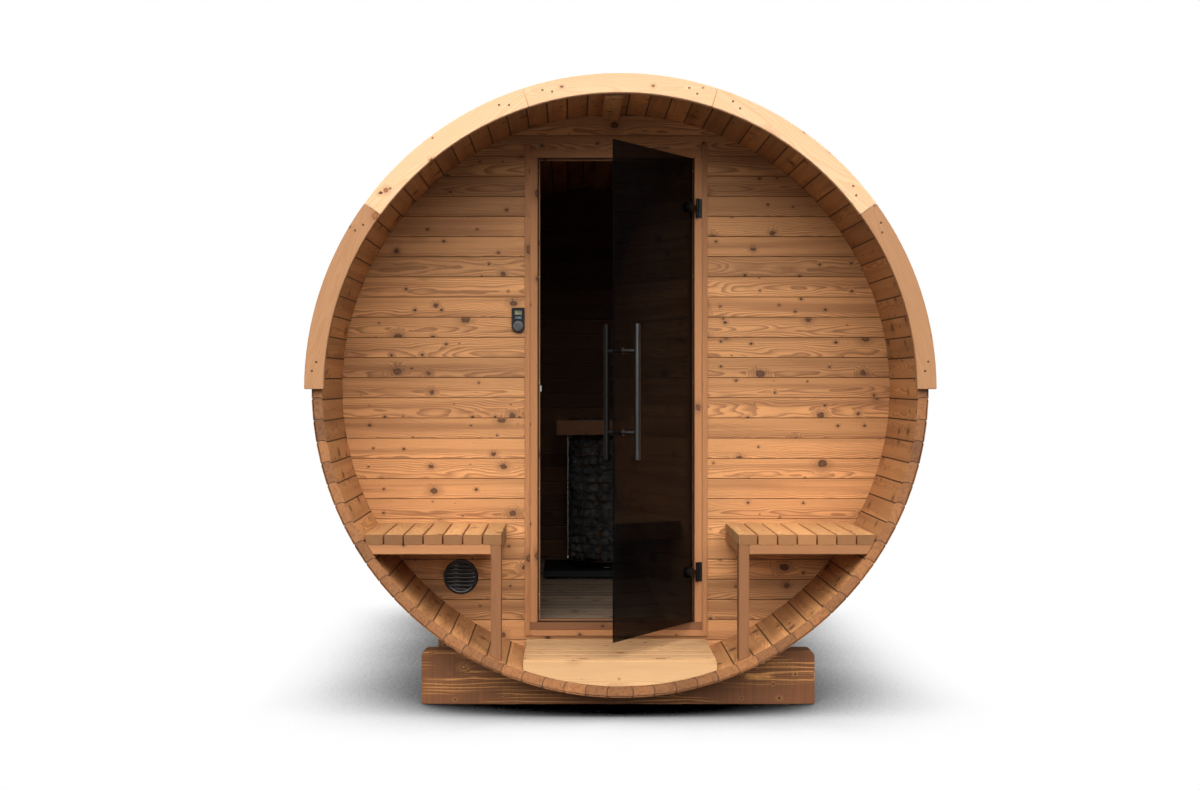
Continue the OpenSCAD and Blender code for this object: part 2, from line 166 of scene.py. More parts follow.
class Finish(Graph):
    """A material under construction, with one Principled shader."""

    def __init__(self, name):
        self.material = bpy.data.materials.new(name)
        self.material.use_nodes = True
        super().__init__(self.material.node_tree)
        self.shader = self.tree.nodes["Principled BSDF"]

    def carried(self, name, output="Fac"):
        """What the mesh carries under name."""
        return self.node("Attribute", attribute_name=name).outputs[output]

    def place(self):
        """Where a point lies on its object."""
        return self.node("TexCoord").outputs["Object"]

    def span(self, value, lo, hi, out_lo=0.0, out_hi=1.0):
        """Value stretched from lo-hi to out_lo-out_hi, with soft ends."""
        sockets = {"Value": value, "From Min": lo, "From Max": hi, "To Min": out_lo, "To Max": out_hi}
        return self.node("MapRange", sockets, interpolation_type="SMOOTHSTEP").outputs[0]

    def mix(self, share, a, b, blend="MIX"):
        made = self.node("Mix", {0: share, 6: a, 7: b}, data_type="RGBA", blend_type=blend)
        return made.outputs[2]

    def noise(self, vector, scale, detail=2.0, rough=0.5):
        sockets = {"Vector": vector, "Scale": scale, "Detail": detail, "Roughness": rough}
        return self.node("TexNoise", sockets).outputs["Fac"]

    def stretch(self, vector, factors):
        """Vector with its three axes multiplied by factors."""
        return self.node("VectorMath", {0: vector, 1: factors}, operation="MULTIPLY").outputs[0]

    def split(self, colour_or_vector, kind="Color"):
        """The three parts of a colour or a vector."""
        return self.node("Separate" + kind, {0: colour_or_vector}).outputs

    def even(self, level):
        """A neutral colour whose level varies."""
        return self.node("CombineColor", {0: level, 1: level, 2: level}).outputs[0]

    def finish(self, base, rough=None, height=None, depth=0.001, strength=0.4, **plain):
        """Links what varies, sets what doesn't as plain values, and returns the material."""
        plug(self.shader, {"Base Color": base})
        if rough is not None:
            plug(self.shader, {"Roughness": rough})
        if height is not None:
            bump = self.node("Bump", {"Strength": strength, "Distance": depth, "Height": height})
            plug(self.shader, {"Normal": bump.outputs[0]})
        for key, value in plain.items():
            self.shader.inputs[key.replace("_", " ")].default_value = value
        return self.material


print("node helpers ready")

# %% [markdown]
# ## Light and camera
# The camera stands level, a little left of the barrel's axis, far enough back for a calm view. A
# small lens shift frames the barrel without tilting the camera, so its upright lines stay upright.
# One very soft lamp, high in front and almost square to the porch, does most of the work, as a big
# window would: it reaches the foot of the porch wall and leaves the crown in shade. A weak lower one
# lifts the shade a little. A white ceiling, brightest overhead, fills the rest. The dark ground
# under the barrel is a painted shadow on the studio floor. The camera itself sees plain white.

# %% Set up the camera
EYE_LEFT, EYE_BACK, EYE_HIGH = 0.187, 5.943, 1.233
scene = bpy.context.scene
lens = bpy.data.cameras.new("camera")
lens.sensor_width, lens.lens = 36.0, 48.7
lens.shift_x, lens.shift_y = 0.0258, -0.0117
camera = bpy.data.objects.new("camera", lens)
camera.location = (-EYE_LEFT, FRONT - EYE_BACK, EYE_HIGH)
camera.rotation_euler = (math.pi / 2, 0, 0)
scene.collection.objects.link(camera)
scene.camera = camera
scene.view_settings.view_transform = "Standard"
print("camera at", [round(c, 3) for c in camera.location])

# %% Light the studio
HORIZON, OVERHEAD = 0.10, 0.78
WHITE = grey(1.0)


def lamp(name, energy, spread, aim):
    """A far lamp that shines along aim. spread is the angle in degrees over which light comes."""
    light = bpy.data.lights.new(name, "SUN")
    light.energy, light.angle, light.color = energy, math.radians(spread), (1.0, 0.985, 0.96)
    holder = bpy.data.objects.new(name, light)
    holder.rotation_euler = Vector(aim).to_track_quat("-Z", "Y").to_euler()
    scene.collection.objects.link(holder)


lamp("high window", 4.9, 78, (0.03, 0.71, -0.76))
lamp("low fill", 0.2, 40, (0.0, 0.93, -0.36))

world = bpy.data.worlds.new("studio")
world.use_nodes = True
sky = Graph(world.node_tree)
overcast, ending = world.node_tree.nodes["Background"], world.node_tree.nodes["World Output"]
up = sky.node("SeparateXYZ", {0: sky.node("TexCoord").outputs["Generated"]}).outputs[2]
strength = sky.node("MapRange", {0: up, 1: 0.0, 2: 1.0, 3: HORIZON, 4: OVERHEAD}).outputs[0]
plug(overcast, {"Color": WHITE, "Strength": strength})
backdrop = sky.node("Background", {"Color": WHITE})
to_camera = sky.node("LightPath").outputs["Is Camera Ray"]
choice = sky.node("MixShader", {0: to_camera, 1: overcast.outputs[0], 2: backdrop.outputs[0]})
plug(ending, {0: choice.outputs[0]})
scene.world = world

# %% [markdown]
# ## Wood
# Sawn boards show the rings of the tree they came from. A picture of wood can't turn a corner, so
# here the wood is solid. Boards carry these attributes:
# - grain: the board's own coordinates in metres, along, across and through it
# - board: a random number for each board, which moves the rings and the tone, so none repeats
# - cut_end: 1 on ends, because end grain drinks more stain and goes darker
# - shade: below 0 for a darker board, from darker stock or from painted shade
# - edge: from -1 to 1 across the board, for the dark joint at each side and the bevel beside it
#
# The rings are circles round a pith line under the board, bent by slow noise along it. That gives
# arches on the faces, straight lines on the edges and arcs on the ends, all from one rule. Branches
# cut through as knots, with the rings flowing round them.


# %% Write the wood finish
def knot_marks(f, place, face, share):
    """A knot's dark core, the halo that bends the rings, and its paler heart. A loose net over the
    board has one chance of a knot in each cell, and a finer net holds the pin knots."""
    marks = []
    for (length, width), size, chances in (((0.24, 0.082), 0.0092, share),
                                           ((0.11, 0.05), 0.0033, share * 0.7)):
        scaled = f.stretch(place, (1 / length, 1 / width, 0))
        net = f.node("TexVoronoi", {"Vector": scaled, "Scale": 1.0, "Randomness": 0.85},
                     voronoi_dimensions="2D").outputs
        gap = f.node("VectorMath", {0: scaled, 1: net["Position"]}, operation="SUBTRACT").outputs[0]
        gap = f.stretch(gap, (length * 0.8, width, 0))
        away = f.node("VectorMath", {0: gap}, operation="LENGTH").outputs["Value"]
        away = f.plus(away, f.sway(f.noise(place, 150.0, 3.0), size * 1.5))
        kind = f.split(net["Color"])
        here = f.times(f.math("LESS_THAN", kind[1], chances), face)
        near = f.math("DIVIDE", away, f.times(f.plus(f.times(kind[0], 1.1), 0.3), size))
        marks.append([f.times(here, f.span(near, *edges))
                      for edges in ((1.35, 0.85), (4.0, 0.9), (0.95, 0.6))])
    (core, halo, heart), (pin_core, pin_halo, _) = marks
    return f.math("MAXIMUM", core, pin_core), f.math("MAXIMUM", halo, pin_halo), heart


def wood(name, pale, dark, knot, end, ring=0.0034, ring_show=0.6, knots=0.5, tone=0.25, rough=0.62,
         fibre=0.12, streak=0.3, saw=0.0, figure=False):
    """A timber finish. Colours are pale early wood, dark late wood, knots and cut ends, and ring is
    the width of a ring in metres. saw adds saw marks, and figure makes broad rings in patches."""
    f = Finish(name)
    grain, board, cut_end = f.carried("grain", "Vector"), f.carried("board"), f.carried("cut_end")
    shade, edge = f.carried("shade"), f.carried("edge")
    face = f.minus(1.0, cut_end)
    draw = f.node("TexWhiteNoise", {"W": f.times(board, 913.0)}, noise_dimensions="1D")
    luck = f.split(draw.outputs["Color"])
    shift = f.node("CombineXYZ", {0: f.times(board, 37.0), 1: f.times(board, 61.0), 2: board})
    place = f.node("VectorMath", {0: grain, 1: shift.outputs[0]}, operation="ADD").outputs[0]
    knot_dark, knot_pull, knot_heart = knot_marks(f, place, face, knots)

    # Rings round the pith, which wanders along the board and bulges past a knot
    wander = f.node("TexNoise", {"Vector": f.stretch(place, (1.5, 5.0, 5.0)), "Scale": 1.0,
                                 "Detail": 3.0})
    wander = f.split(wander.outputs["Color"])
    part = f.split(grain, "XYZ")
    side = f.plus(part[1], f.sway(luck[0], 0.07), f.sway(wander[0], 0.05))
    under = f.plus(part[2], f.plus(f.times(luck[1], 0.05), 0.03), f.sway(wander[1], 0.055))
    reach = f.math("SQRT", f.plus(f.times(side, side), f.times(under, under)))
    ripple = f.times(f.noise(f.stretch(place, (4, 60, 60)), 1.0), ring * 0.9)
    reach = f.plus(reach, f.times(knot_pull, 0.012), ripple)
    year = f.math("FRACT", f.math("DIVIDE", reach, ring))
    rise, fall = ((0.5, 0.68), (0.7, 0.88)) if figure else ((0.25, 0.88), (0.9, 1.0))
    late = f.minus(f.span(year, *rise), f.span(year, *fall))
    if figure:
        patch = f.noise(f.stretch(place, (3.0, 9.0, 9.0)), 1.0, 1.0)
        late = f.times(late, f.span(patch, 0.45, 0.55))

    # The face of the board, then its ends
    fine = f.noise(f.stretch(place, (9.0, 420.0, 420.0)), 1.0, 3.0, 0.6)
    streaks = f.noise(f.stretch(place, (0.9, 26.0, 26.0)), 1.0)
    body = f.mix(f.times(late, ring_show), pale, dark)
    body = f.mix(f.math("MULTIPLY", shade, -1.3, clamp=True), body, dark)
    body = f.mix(f.times(f.span(streaks, 0.42, 0.7), streak), body, dark)
    end_year = f.math("FRACT", f.math("DIVIDE", reach, ring * 1.7))
    ends = f.mix(f.times(f.span(end_year, 0.2, 0.9), 0.5), end, dark)
    stain = f.times(f.span(f.noise(place, 90.0, 4.0), 0.42, 0.66), 0.7)
    ends = f.mix(stain, ends, f.mix(0.25, dark, knot))
    body = f.mix(f.times(cut_end, 0.9), body, ends)

    # The tone of the whole board, its fibre and the knots
    level = f.plus(f.sway(luck[2], tone), 1.0, f.sway(fine, fibre * 2), f.times(shade, 0.7),
                   f.times(f.minus(luck[0], 0.5), cut_end, tone * 1.8))
    if saw:
        level = f.plus(level, f.sway(f.noise(f.stretch(place, (330.0, 6.0, 6.0)), 1.0, 1.0), saw))
    body = f.mix(1.0, body, f.even(level), "MULTIPLY")
    body = f.mix(f.times(knot_pull, 0.36), body, f.mix(0.5, dark, knot))
    body = f.mix(f.times(knot_dark, 0.9), body, knot)
    body = f.mix(f.times(knot_heart, 0.55), body, dark)

    # The bevel catches light beside the dark joint
    bevel = f.minus(f.span(edge, 0.90, 0.93), f.span(edge, 0.94, 0.96))
    body = f.mix(f.times(bevel, face, 0.5), body, pale)
    joint = f.span(f.math("ABSOLUTE", edge), 0.955, 0.99)
    body = f.mix(f.times(joint, 0.85), body, knot)
    shine = f.plus(f.times(fine, 0.16), f.times(late, -0.08), rough - 0.06)
    relief = f.plus(f.times(late, 0.5), f.plus(fine, f.times(knot_dark, 0.6)))
    return f.finish(body, shine, relief, 0.0006, 0.45, Specular_IOR_Level=0.35)


print("wood finish ready")

# %% Mix the woods
END_GRAIN = colour(172, 122, 80)
thermo = wood("thermo_spruce", colour(219, 164, 109), colour(140, 90, 56), colour(48, 30, 21),
              END_GRAIN, ring_show=0.62, tone=0.36)
wall_wood = wood("wall_spruce", colour(210, 152, 98), colour(122, 75, 44), colour(46, 29, 20),
                 END_GRAIN, ring_show=0.7, tone=0.46, streak=0.5, knots=0.42)
staves_wood = wood("stave_spruce", colour(198, 142, 90), colour(126, 78, 46), colour(44, 28, 19),
                   colour(148, 98, 58), tone=0.40, streak=0.4)
fascia_wood = wood("fascia_spruce", colour(232, 190, 148), colour(186, 116, 56), colour(96, 60, 38),
                   colour(205, 150, 95), ring=0.0045, ring_show=0.24, knots=0.3, tone=0.08,
                   streak=0.08)
frame_wood = wood("frame_spruce", colour(186, 129, 82), colour(140, 88, 54), colour(50, 32, 22),
                  colour(152, 102, 64), ring=0.0026, ring_show=0.4, knots=0.2, tone=0.14)
deck_wood = wood("fresh_spruce", colour(214, 172, 124), colour(180, 130, 84), colour(96, 58, 36),
                 colour(214, 166, 112), knots=0.55, tone=0.32)
bench_wood = wood("bench_spruce", colour(206, 156, 104), colour(156, 104, 60), colour(54, 34, 22),
                  colour(132, 88, 52), tone=0.34, knots=0.25)
floor_wood = wood("floor_spruce", colour(136, 114, 92), colour(92, 74, 58), colour(48, 34, 25),
                  colour(110, 88, 66), tone=0.6)
cradle_wood = wood("stained_beam", colour(126, 79, 47), colour(240, 170, 96), colour(40, 24, 16),
                   colour(96, 62, 40), ring=0.012, ring_show=0.95, knots=0.55, tone=0.08, rough=0.6,
                   streak=0.0, saw=0.6, fibre=0.3, figure=True)
print("woods:", [m.name for m in bpy.data.materials if "spruce" in m.name or "beam" in m.name])

# %% [markdown]
# ## Growing what repeats
# A barrel is one stave, turned 88 times. A wall is one board, stacked. Geometry Nodes fit that: a
# seed mesh is made once, and a small tree repeats it. The first tree turns copies round an axis. The
# second sets copies in a row and then trims them to a circle, as a joiner scribes wall boards to the
# staves. Each tree gives every copy its own random number, and ends as a plain mesh.

# %% Write the tree helpers
FAR = 9.0
NOWHERE = (0, 0, 0)


class Tree(Graph):
    """A Geometry Nodes tree under construction. Inputs are (label, socket kind, default)."""

    prefix = ""

    def __init__(self, name, *inputs):
        super().__init__(bpy.data.node_groups.new(name, "GeometryNodeTree"))
        face = self.tree.interface
        face.new_socket("Geometry", in_out="INPUT", socket_type="NodeSocketGeometry")
        for label, kind, value in (*inputs, ("Seed", "Int", 1), ("Material", "Material", None)):
            made = face.new_socket(label, in_out="INPUT", socket_type="NodeSocket" + kind)
            if value is not None:
                made.default_value = value
        face.new_socket("Geometry", in_out="OUTPUT", socket_type="NodeSocketGeometry")
        self.given = self.tree.nodes.new("NodeGroupInput").outputs
        self.end = self.tree.nodes.new("NodeGroupOutput")

    def scaled(self, vector, size):
        made = self.node("ShaderNodeVectorMath", {0: vector, "Scale": size}, operation="SCALE")
        return made.outputs[0]

    def kept(self, value, lo, hi):
        """Value held between lo and hi."""
        return self.math("MINIMUM", self.math("MAXIMUM", value, lo), hi)

    def store(self, geometry, name, kind, value):
        """Gives each copy a value under name."""
        made = self.node("GeometryNodeStoreNamedAttribute", {"Geometry": geometry, "Name": name},
                         data_type=kind, domain="INSTANCE")
        return plug(made, {"Value": value}).outputs[0]

    def chance(self, lo=0.0, hi=1.0, seed=None):
        """A random number for each copy, or a random vector where lo is one."""
        first, output, kind = (0, 0, "FLOAT_VECTOR") if isinstance(lo, tuple) else (2, 1, "FLOAT")
        sockets = {first: lo, first + 1: hi, "Seed": seed or self.given["Seed"]}
        return self.node("FunctionNodeRandomValue", sockets, data_type=kind).outputs[output]

    def copies(self, points, seed, **settings):
        """A copy of seed on each point, with its own number."""
        made = self.node("GeometryNodeInstanceOnPoints",
                         {"Points": points, "Instance": seed, **settings})
        return self.store(made.outputs[0], "board", "FLOAT", self.chance())

    def real(self, geometry):
        """Copies made into plain mesh."""
        return self.node("GeometryNodeRealizeInstances", {"Geometry": geometry}).outputs[0]

    def close(self, geometry):
        """Makes the copies real, gives them the material, and returns the tree."""
        painted = self.node("GeometryNodeSetMaterial", {"Geometry": self.real(geometry),
                                                        "Material": self.given["Material"]})
        plug(self.end, {0: painted.outputs[0]})
        return self.tree


def ring_tree():
    """Copies of the seed, each turned a step further round a centre."""
    t = Tree("ring of copies", ("Count", "Int", 8), ("Centre", "Vector", NOWHERE),
             ("First turn", "Vector", NOWHERE), ("Turn", "Vector", NOWHERE))
    points = t.node("GeometryNodePoints", {"Count": t.given["Count"], "Position": t.given["Centre"]})
    step = t.scaled(t.given["Turn"], t.node("GeometryNodeInputIndex").outputs[0])
    turn = t.node("ShaderNodeVectorMath", {0: step, 1: t.given["First turn"]}, operation="ADD")
    turn = t.node("FunctionNodeEulerToRotation", {0: turn.outputs[0]}).outputs[0]
    return t.close(t.copies(points.outputs[0], t.given["Geometry"], Rotation=turn))


def row_tree():
    """Copies of the seed in a row, trimmed to a circle about Centre and to a box."""
    t = Tree("row trimmed to the round", ("Count", "Int", 8), ("Start", "Vector", NOWHERE),
             ("Step", "Vector", NOWHERE), ("Centre", "Vector", NOWHERE), ("Radius", "Float", FAR),
             ("Left", "Float", -FAR), ("Right", "Float", FAR), ("Lowest", "Float", -FAR),
             ("Highest", "Float", FAR))
    line = t.node("GeometryNodeMeshLine", {"Count": t.given["Count"], "Offset": t.given["Step"],
                                           "Start Location": t.given["Start"]})
    place = t.node("GeometryNodeInputPosition").outputs[0]
    copies = t.copies(line.outputs[0], t.given["Geometry"])
    real = t.real(t.store(copies, "start", "FLOAT_VECTOR", place))
    now = t.node("ShaderNodeSeparateXYZ", {0: place}).outputs
    hub = t.node("ShaderNodeSeparateXYZ", {0: t.given["Centre"]}).outputs
    z = t.kept(now[2], t.given["Lowest"], t.given["Highest"])
    rise = t.minus(z, hub[2])
    room = t.minus(t.times(t.given["Radius"], t.given["Radius"]), t.times(rise, rise))
    half = t.math("SQRT", t.math("MAXIMUM", room, 0.0))
    left = t.math("MAXIMUM", t.minus(hub[0], half), t.given["Left"])
    right = t.math("MINIMUM", t.plus(hub[0], half), t.given["Right"])
    there = t.node("ShaderNodeCombineXYZ", {0: t.kept(now[0], left, right), 1: now[1], 2: z})
    cut = t.node("GeometryNodeSetPosition", {"Geometry": real, "Position": there.outputs[0]})
    merged = t.node("GeometryNodeMergeByDistance", {"Geometry": cut.outputs[0], "Distance": 0.00006})
    return t.close(merged.outputs[0])


RING, ROW = ring_tree(), row_tree()
print("trees:", RING.name, "and", ROW.name)


# %% Write the calls that run a tree
def place_object(name, mesh):
    made = bpy.data.objects.new(name, mesh)
    scene.collection.objects.link(made)
    return made


def grow(name, seed, tree, **values):
    """Runs a tree on a seed mesh and leaves one plain mesh. Inputs are named with _ for a space."""
    made = place_object(name, seed)
    work = made.modifiers.new("grow", "NODES")
    work.node_group = tree
    for item in tree.interface.items_tree:
        key = item.name.replace(" ", "_")
        if item.in_out == "INPUT" and key in values:
            value = values.pop(key)
            work[item.identifier] = float(value) if item.socket_type == "NodeSocketFloat" else value
    assert not values, f"{tree.name} has no input {list(values)}"
    view = bpy.context.evaluated_depsgraph_get()
    made_real = made.evaluated_get(view)
    result = bpy.data.meshes.new_from_object(made_real, preserve_all_data_layers=True,
                                             depsgraph=view)
    made.modifiers.clear()
    made.data = result
    result.name = name
    return made


def join(name, parts):
    """Several objects made one."""
    if len(parts) > 1:
        with bpy.context.temp_override(active_object=parts[0], selected_editable_objects=parts):
            bpy.ops.object.join()
    parts[0].name = parts[0].data.name = name
    return parts[0]


def soften(made, degrees=30):
    """Smooth shading over gentle bends, with sharp edges kept. Normals left over from a copied
    mesh would tilt the light on its flat faces, so they go first."""
    stale = made.data.attributes.get("custom_normal")
    if stale:
        made.data.attributes.remove(stale)
    made.data.polygons.foreach_set("use_smooth", [True] * len(made.data.polygons))
    made.data.set_sharp_from_angle(angle=math.radians(degrees))
    return made


def dress(made, nodes):
    """Sets a finished piece in the frame, in place of some of its nodes."""
    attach(made, frame["nodes"][nodes[0]]["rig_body"])
    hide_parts(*nodes)
    print(made.name, len(made.data.polygons), "faces for", ", ".join(nodes))
    return made


def add_to_shell(made):
    """Sets a small extra piece on the fixed part of the building."""
    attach(made, "shell")
    print(made.name, len(made.data.polygons), "faces")


print("growing helpers ready")

# %% [markdown]
# The wood finish needs its attributes on every board. Straight rows take grain from the place of
# each copy. A piece copied from the frame gets it island by island, where an island is one separate
# board of the piece.


# %% Write the wood attributes
def write(mesh, name, rows, kind="FLOAT", domain="POINT"):
    layer = mesh.attributes.get(name) or mesh.attributes.new(name, kind, domain)
    if kind == "FLOAT_VECTOR":
        layer.data.foreach_set("vector", [number for row in rows for number in row])
    else:
        layer.data.foreach_set("value", list(rows))


def laid(order):
    """Axes of a board whose length, width and thickness run along the letters of order."""
    return Matrix([[1.0 if letter == axis else 0.0 for axis in "xyz"] for letter in order])


def mark_ends(mesh, direction_of):
    """Marks faces that cut across the grain. direction_of gives a face's own grain direction."""
    ends = [1.0 if abs(face.normal.dot(direction_of(face))) > 0.75 else 0.0
            for face in mesh.polygons]
    write(mesh, "cut_end", ends, domain="FACE")


def grain_rows(made, order):
    """Grain for straight rows. order names the axes along, across and through a board."""
    axes = ["xyz".index(letter) for letter in order]
    start = [tuple(d.vector) for d in made.data.attributes["start"].data]
    grain = [[v.co[a] - (start[v.index][a] if n else 0.0) for n, a in enumerate(axes)]
             for v in made.data.vertices]
    write(made.data, "grain", grain, "FLOAT_VECTOR")
    along = laid(order)[0]
    mark_ends(made.data, lambda face: along)
    return made


def islands(mesh):
    """The separate boards of a mesh, as lists of vertex numbers."""
    owner = list(range(len(mesh.vertices)))

    def root(i):
        while owner[i] != i:
            owner[i] = owner[owner[i]]
            i = owner[i]
        return i

    for edge in mesh.edges:
        owner[root(edge.vertices[0])] = root(edge.vertices[1])
    groups = {}
    for i in range(len(owner)):
        groups.setdefault(root(i), []).append(i)
    return list(groups.values())


chance = random.Random(88)


def grain_islands(made, turn):
    """Grain, a board number and end marks for each island of a mesh. turn is an order of axes, or
    gives a board its own axes from its centre."""
    mesh = made.data
    count = len(mesh.vertices)
    grain, board, axes_of = [None] * count, [0.0] * count, {}
    for group in islands(mesh):
        centre = sum((mesh.vertices[i].co for i in group), Vector()) / len(group)
        axes, number = turn(centre) if callable(turn) else laid(turn), chance.random()
        for i in group:
            grain[i] = axes @ (mesh.vertices[i].co - centre)
            board[i], axes_of[i] = number, axes[0]
    write(mesh, "grain", grain, "FLOAT_VECTOR")
    write(mesh, "board", board)
    mark_ends(mesh, lambda face: axes_of[face.vertices[0]])
    return made


print("wood attributes ready")

# %% [markdown]
# New shapes start as a few points: a board is an outline pulled along its length, and a turned part
# is an outline swung round a line. A piece that keeps the frame's shape is a copy of it with its
# sharp edges eased, since real edges always have a small round that catches the light.


# %% Write the shape helpers
def plain_mesh(name, work, material=None):
    """The finished mesh of a bmesh."""
    mesh = bpy.data.meshes.new(name)
    work.to_mesh(mesh)
    work.free()
    if material:
        mesh.materials.clear()
        mesh.materials.append(material)
    return mesh


def closed_mesh(name, points, faces, material=None):
    """A mesh from points and faces, with its faces turned outwards."""
    rough = bpy.data.meshes.new(name)
    rough.from_pydata([tuple(p) for p in points], [], faces)
    work = bmesh.new()
    work.from_mesh(rough)
    bpy.data.meshes.remove(rough)
    bmesh.ops.recalc_face_normals(work, faces=work.faces)
    return plain_mesh(name, work, material)


def plank(name, line, spot, half=1.5):
    """A seed board. line lists (across, face, back) points, and spot turns (along, across,
    through) into x, y, z."""
    points = [spot(end * half, a, t) for end in (-1, 1) for a, face, back in line
              for t in (face, back)]
    n = len(line)
    far, last = 2 * n, 2 * n - 2
    faces = []
    for a in range(0, last, 2):
        b = a + 2
        faces += [(a, b, b + far, a + far), (a + 1, a + 1 + far, b + 1 + far, b + 1)]
        faces += [(a, a + 1, b + 1, b), (a + far, b + far, b + 1 + far, a + 1 + far)]
    faces += [(0, far, far + 1, 1), (last, last + 1, last + 1 + far, last + far)]
    return closed_mesh(name, points, faces)


def turned(name, rings, sides, place, material=None):
    """A turned shape. rings lists (radius, height), and place puts (radius, turn, height)."""
    points, faces = [], []
    for radius, height in rings:
        points += [place(radius, math.tau * k / sides, height) for k in range(sides)]
    for start in range(0, (len(rings) - 1) * sides, sides):
        for k in range(sides):
            a, b = start + k, start + (k + 1) % sides
            faces.append((a, b, b + sides, a + sides))
    faces.append(tuple(range(sides)))
    faces.append(tuple(range((len(rings) - 1) * sides, len(rings) * sides)))
    return closed_mesh(name, points, faces, material)


def facing(x, y, z, outwards):
    """Places a turned shape so that it looks along the barrel: outwards is -1 to the front."""
    return lambda r, a, h: (x + r * math.cos(a), y + outwards * h, z + r * math.sin(a))


def standing(y, z):
    """Places a turned shape upright in the middle of the barrel."""
    return lambda r, a, h: (r * math.cos(a), y + r * math.sin(a), z + h)


def gather(name, meshes, material=None):
    """Several meshes made one."""
    work = bmesh.new()
    for mesh in meshes:
        work.from_mesh(mesh)
    return plain_mesh(name, work, material)


def eased(name, node, material, edge, parts):
    """A copy of a frame node with its sharp edges rounded by edge."""
    work = bmesh.new()
    work.from_mesh(frame["nodes"][node].data)
    bmesh.ops.remove_doubles(work, verts=work.verts, dist=0.00002)
    bmesh.ops.dissolve_limit(work, angle_limit=0.003, verts=work.verts, edges=work.edges)
    sharp = [e for e in work.edges if len(e.link_faces) == 2 and e.calc_face_angle() > 0.6]
    bmesh.ops.bevel(work, geom=sharp, offset=edge, segments=parts, affect="EDGES",
                    clamp_overlap=True)
    return place_object(name, plain_mesh(name, work, material))


def copied(name, node, material, edge=0.0008, parts=2):
    """A copy of a frame node with eased edges and a new finish."""
    return dress(soften(eased(name, node, material, edge, parts)), [node])


def planed(name, node, turn, material, edge=0.0015, shade=None):
    """A copy of a frame node with planed edges and wood attributes. shade(point) may set a tone."""
    made = grain_islands(eased(name, node, material, edge, 2), turn)
    if shade:
        write(made.data, "shade", [shade(v.co) for v in made.data.vertices])
    return dress(soften(made, 20), [node])


def refinish(node, material):
    """A new finish on a frame node whose shape stays as it is."""
    slots = frame["nodes"][node].data.materials
    slots.clear()
    slots.append(material)


print("shape helpers ready")

# %% [markdown]
# ## Staves
# Each stave is a board planed with a round bead on one edge and a matching hollow, a cove, on the
# other, so that it can turn on its neighbour and the ring closes without gaps. The bead looks up on
# both sides of the barrel, so rain can't stand in the hollow. That makes two odd staves: the lowest
# has two beads and the highest two coves. The outline is a few points through the thickness, and the
# tree turns it round the axis.

# %% Shape one stave
BEAD = 0.009
CHAMFER = 0.002
CORNER = 0.006
PLAY = 0.0003
MIDDLE = (INNER + OUTER) / 2
HALF_THICK = (OUTER - INNER) / 2


def stave_seed(name, left, right):
    """One stave under the axis. left and right are 1 where that edge is a bead, -1 for a cove."""
    flat_outer = OUTER * math.cos(STAVE_TURN / 2)
    heights = [INNER, INNER + CHAMFER]
    heights += [MIDDLE - HALF_THICK * 0.86 * math.cos(math.pi * k / 8) for k in range(1, 8)]
    heights += [flat_outer - CORNER * (1 - math.sin(math.pi * k / 8)) for k in range(5)]
    line = []
    for r in heights:
        bulge = BEAD * math.sqrt(max(0.0, 1 - ((r - MIDDLE) / HALF_THICK) ** 2))
        corner = max(0.0, (r - flat_outer) / CORNER + 1)
        inset = PLAY + 0.8 * CHAMFER * (r == INNER) + CORNER * (1 - math.sqrt(1 - corner ** 2))
        half = r * math.tan(STAVE_TURN / 2) - inset
        line.append((r, -half - left * bulge, half + right * bulge))
    mesh = plank(name, line, lambda along, r, across: (across, along, -r), (BACK - FRONT) / 2)
    grain = [(v.co.y, v.co.x, -v.co.z - MIDDLE) for v in mesh.vertices]
    write(mesh, "grain", grain, "FLOAT_VECTOR")
    write(mesh, "edge", [math.copysign(1.0, v.co.x) for v in mesh.vertices])
    return mesh


climbing = stave_seed("stave climbing right", -1, 1)
mirrored = stave_seed("stave climbing left", 1, -1)
lowest = stave_seed("lowest stave", 1, 1)
highest = stave_seed("highest stave", -1, -1)
print("a stave has", len(climbing.polygons), "faces")

# %% Turn the staves into the barrel
SEGMENTS = ["bottom", "lower_right", "right", "upper_right", "crown", "upper_left", "left",
            "lower_left"]
PER_SEGMENT = STAVES // len(SEGMENTS)
FIRST_SEED = 40


def stave_run(seed, first, count, number):
    """count staves. Stave 0 is the lowest, and the numbers climb the right side."""
    return grow(f"run_{number}", seed, RING, Count=count, Centre=(0, (FRONT + BACK) / 2, AXIS),
                First_turn=(0, -first * STAVE_TURN, 0), Turn=(0, -STAVE_TURN, 0), Seed=number,
                Material=staves_wood)


for number, side in enumerate(SEGMENTS):
    half = PER_SEGMENT // 2
    first = number * PER_SEGMENT - half
    if side == "bottom":
        runs = [(mirrored, first, half), (lowest, 0, 1), (climbing, 1, half)]
    elif side == "crown":
        runs = [(climbing, first, half), (highest, first + half, 1),
                (mirrored, first + half + 1, half)]
    else:
        runs = [(climbing if "right" in side else mirrored, first, PER_SEGMENT)]
    parts = [stave_run(*run, FIRST_SEED + number * 3 + i) for i, run in enumerate(runs)]
    ring_part = join("barrel_staves_" + side, parts)
    mark_ends(ring_part.data, lambda face: Vector((0, 1, 0)))
    dress(soften(ring_part), ["staves_" + side])
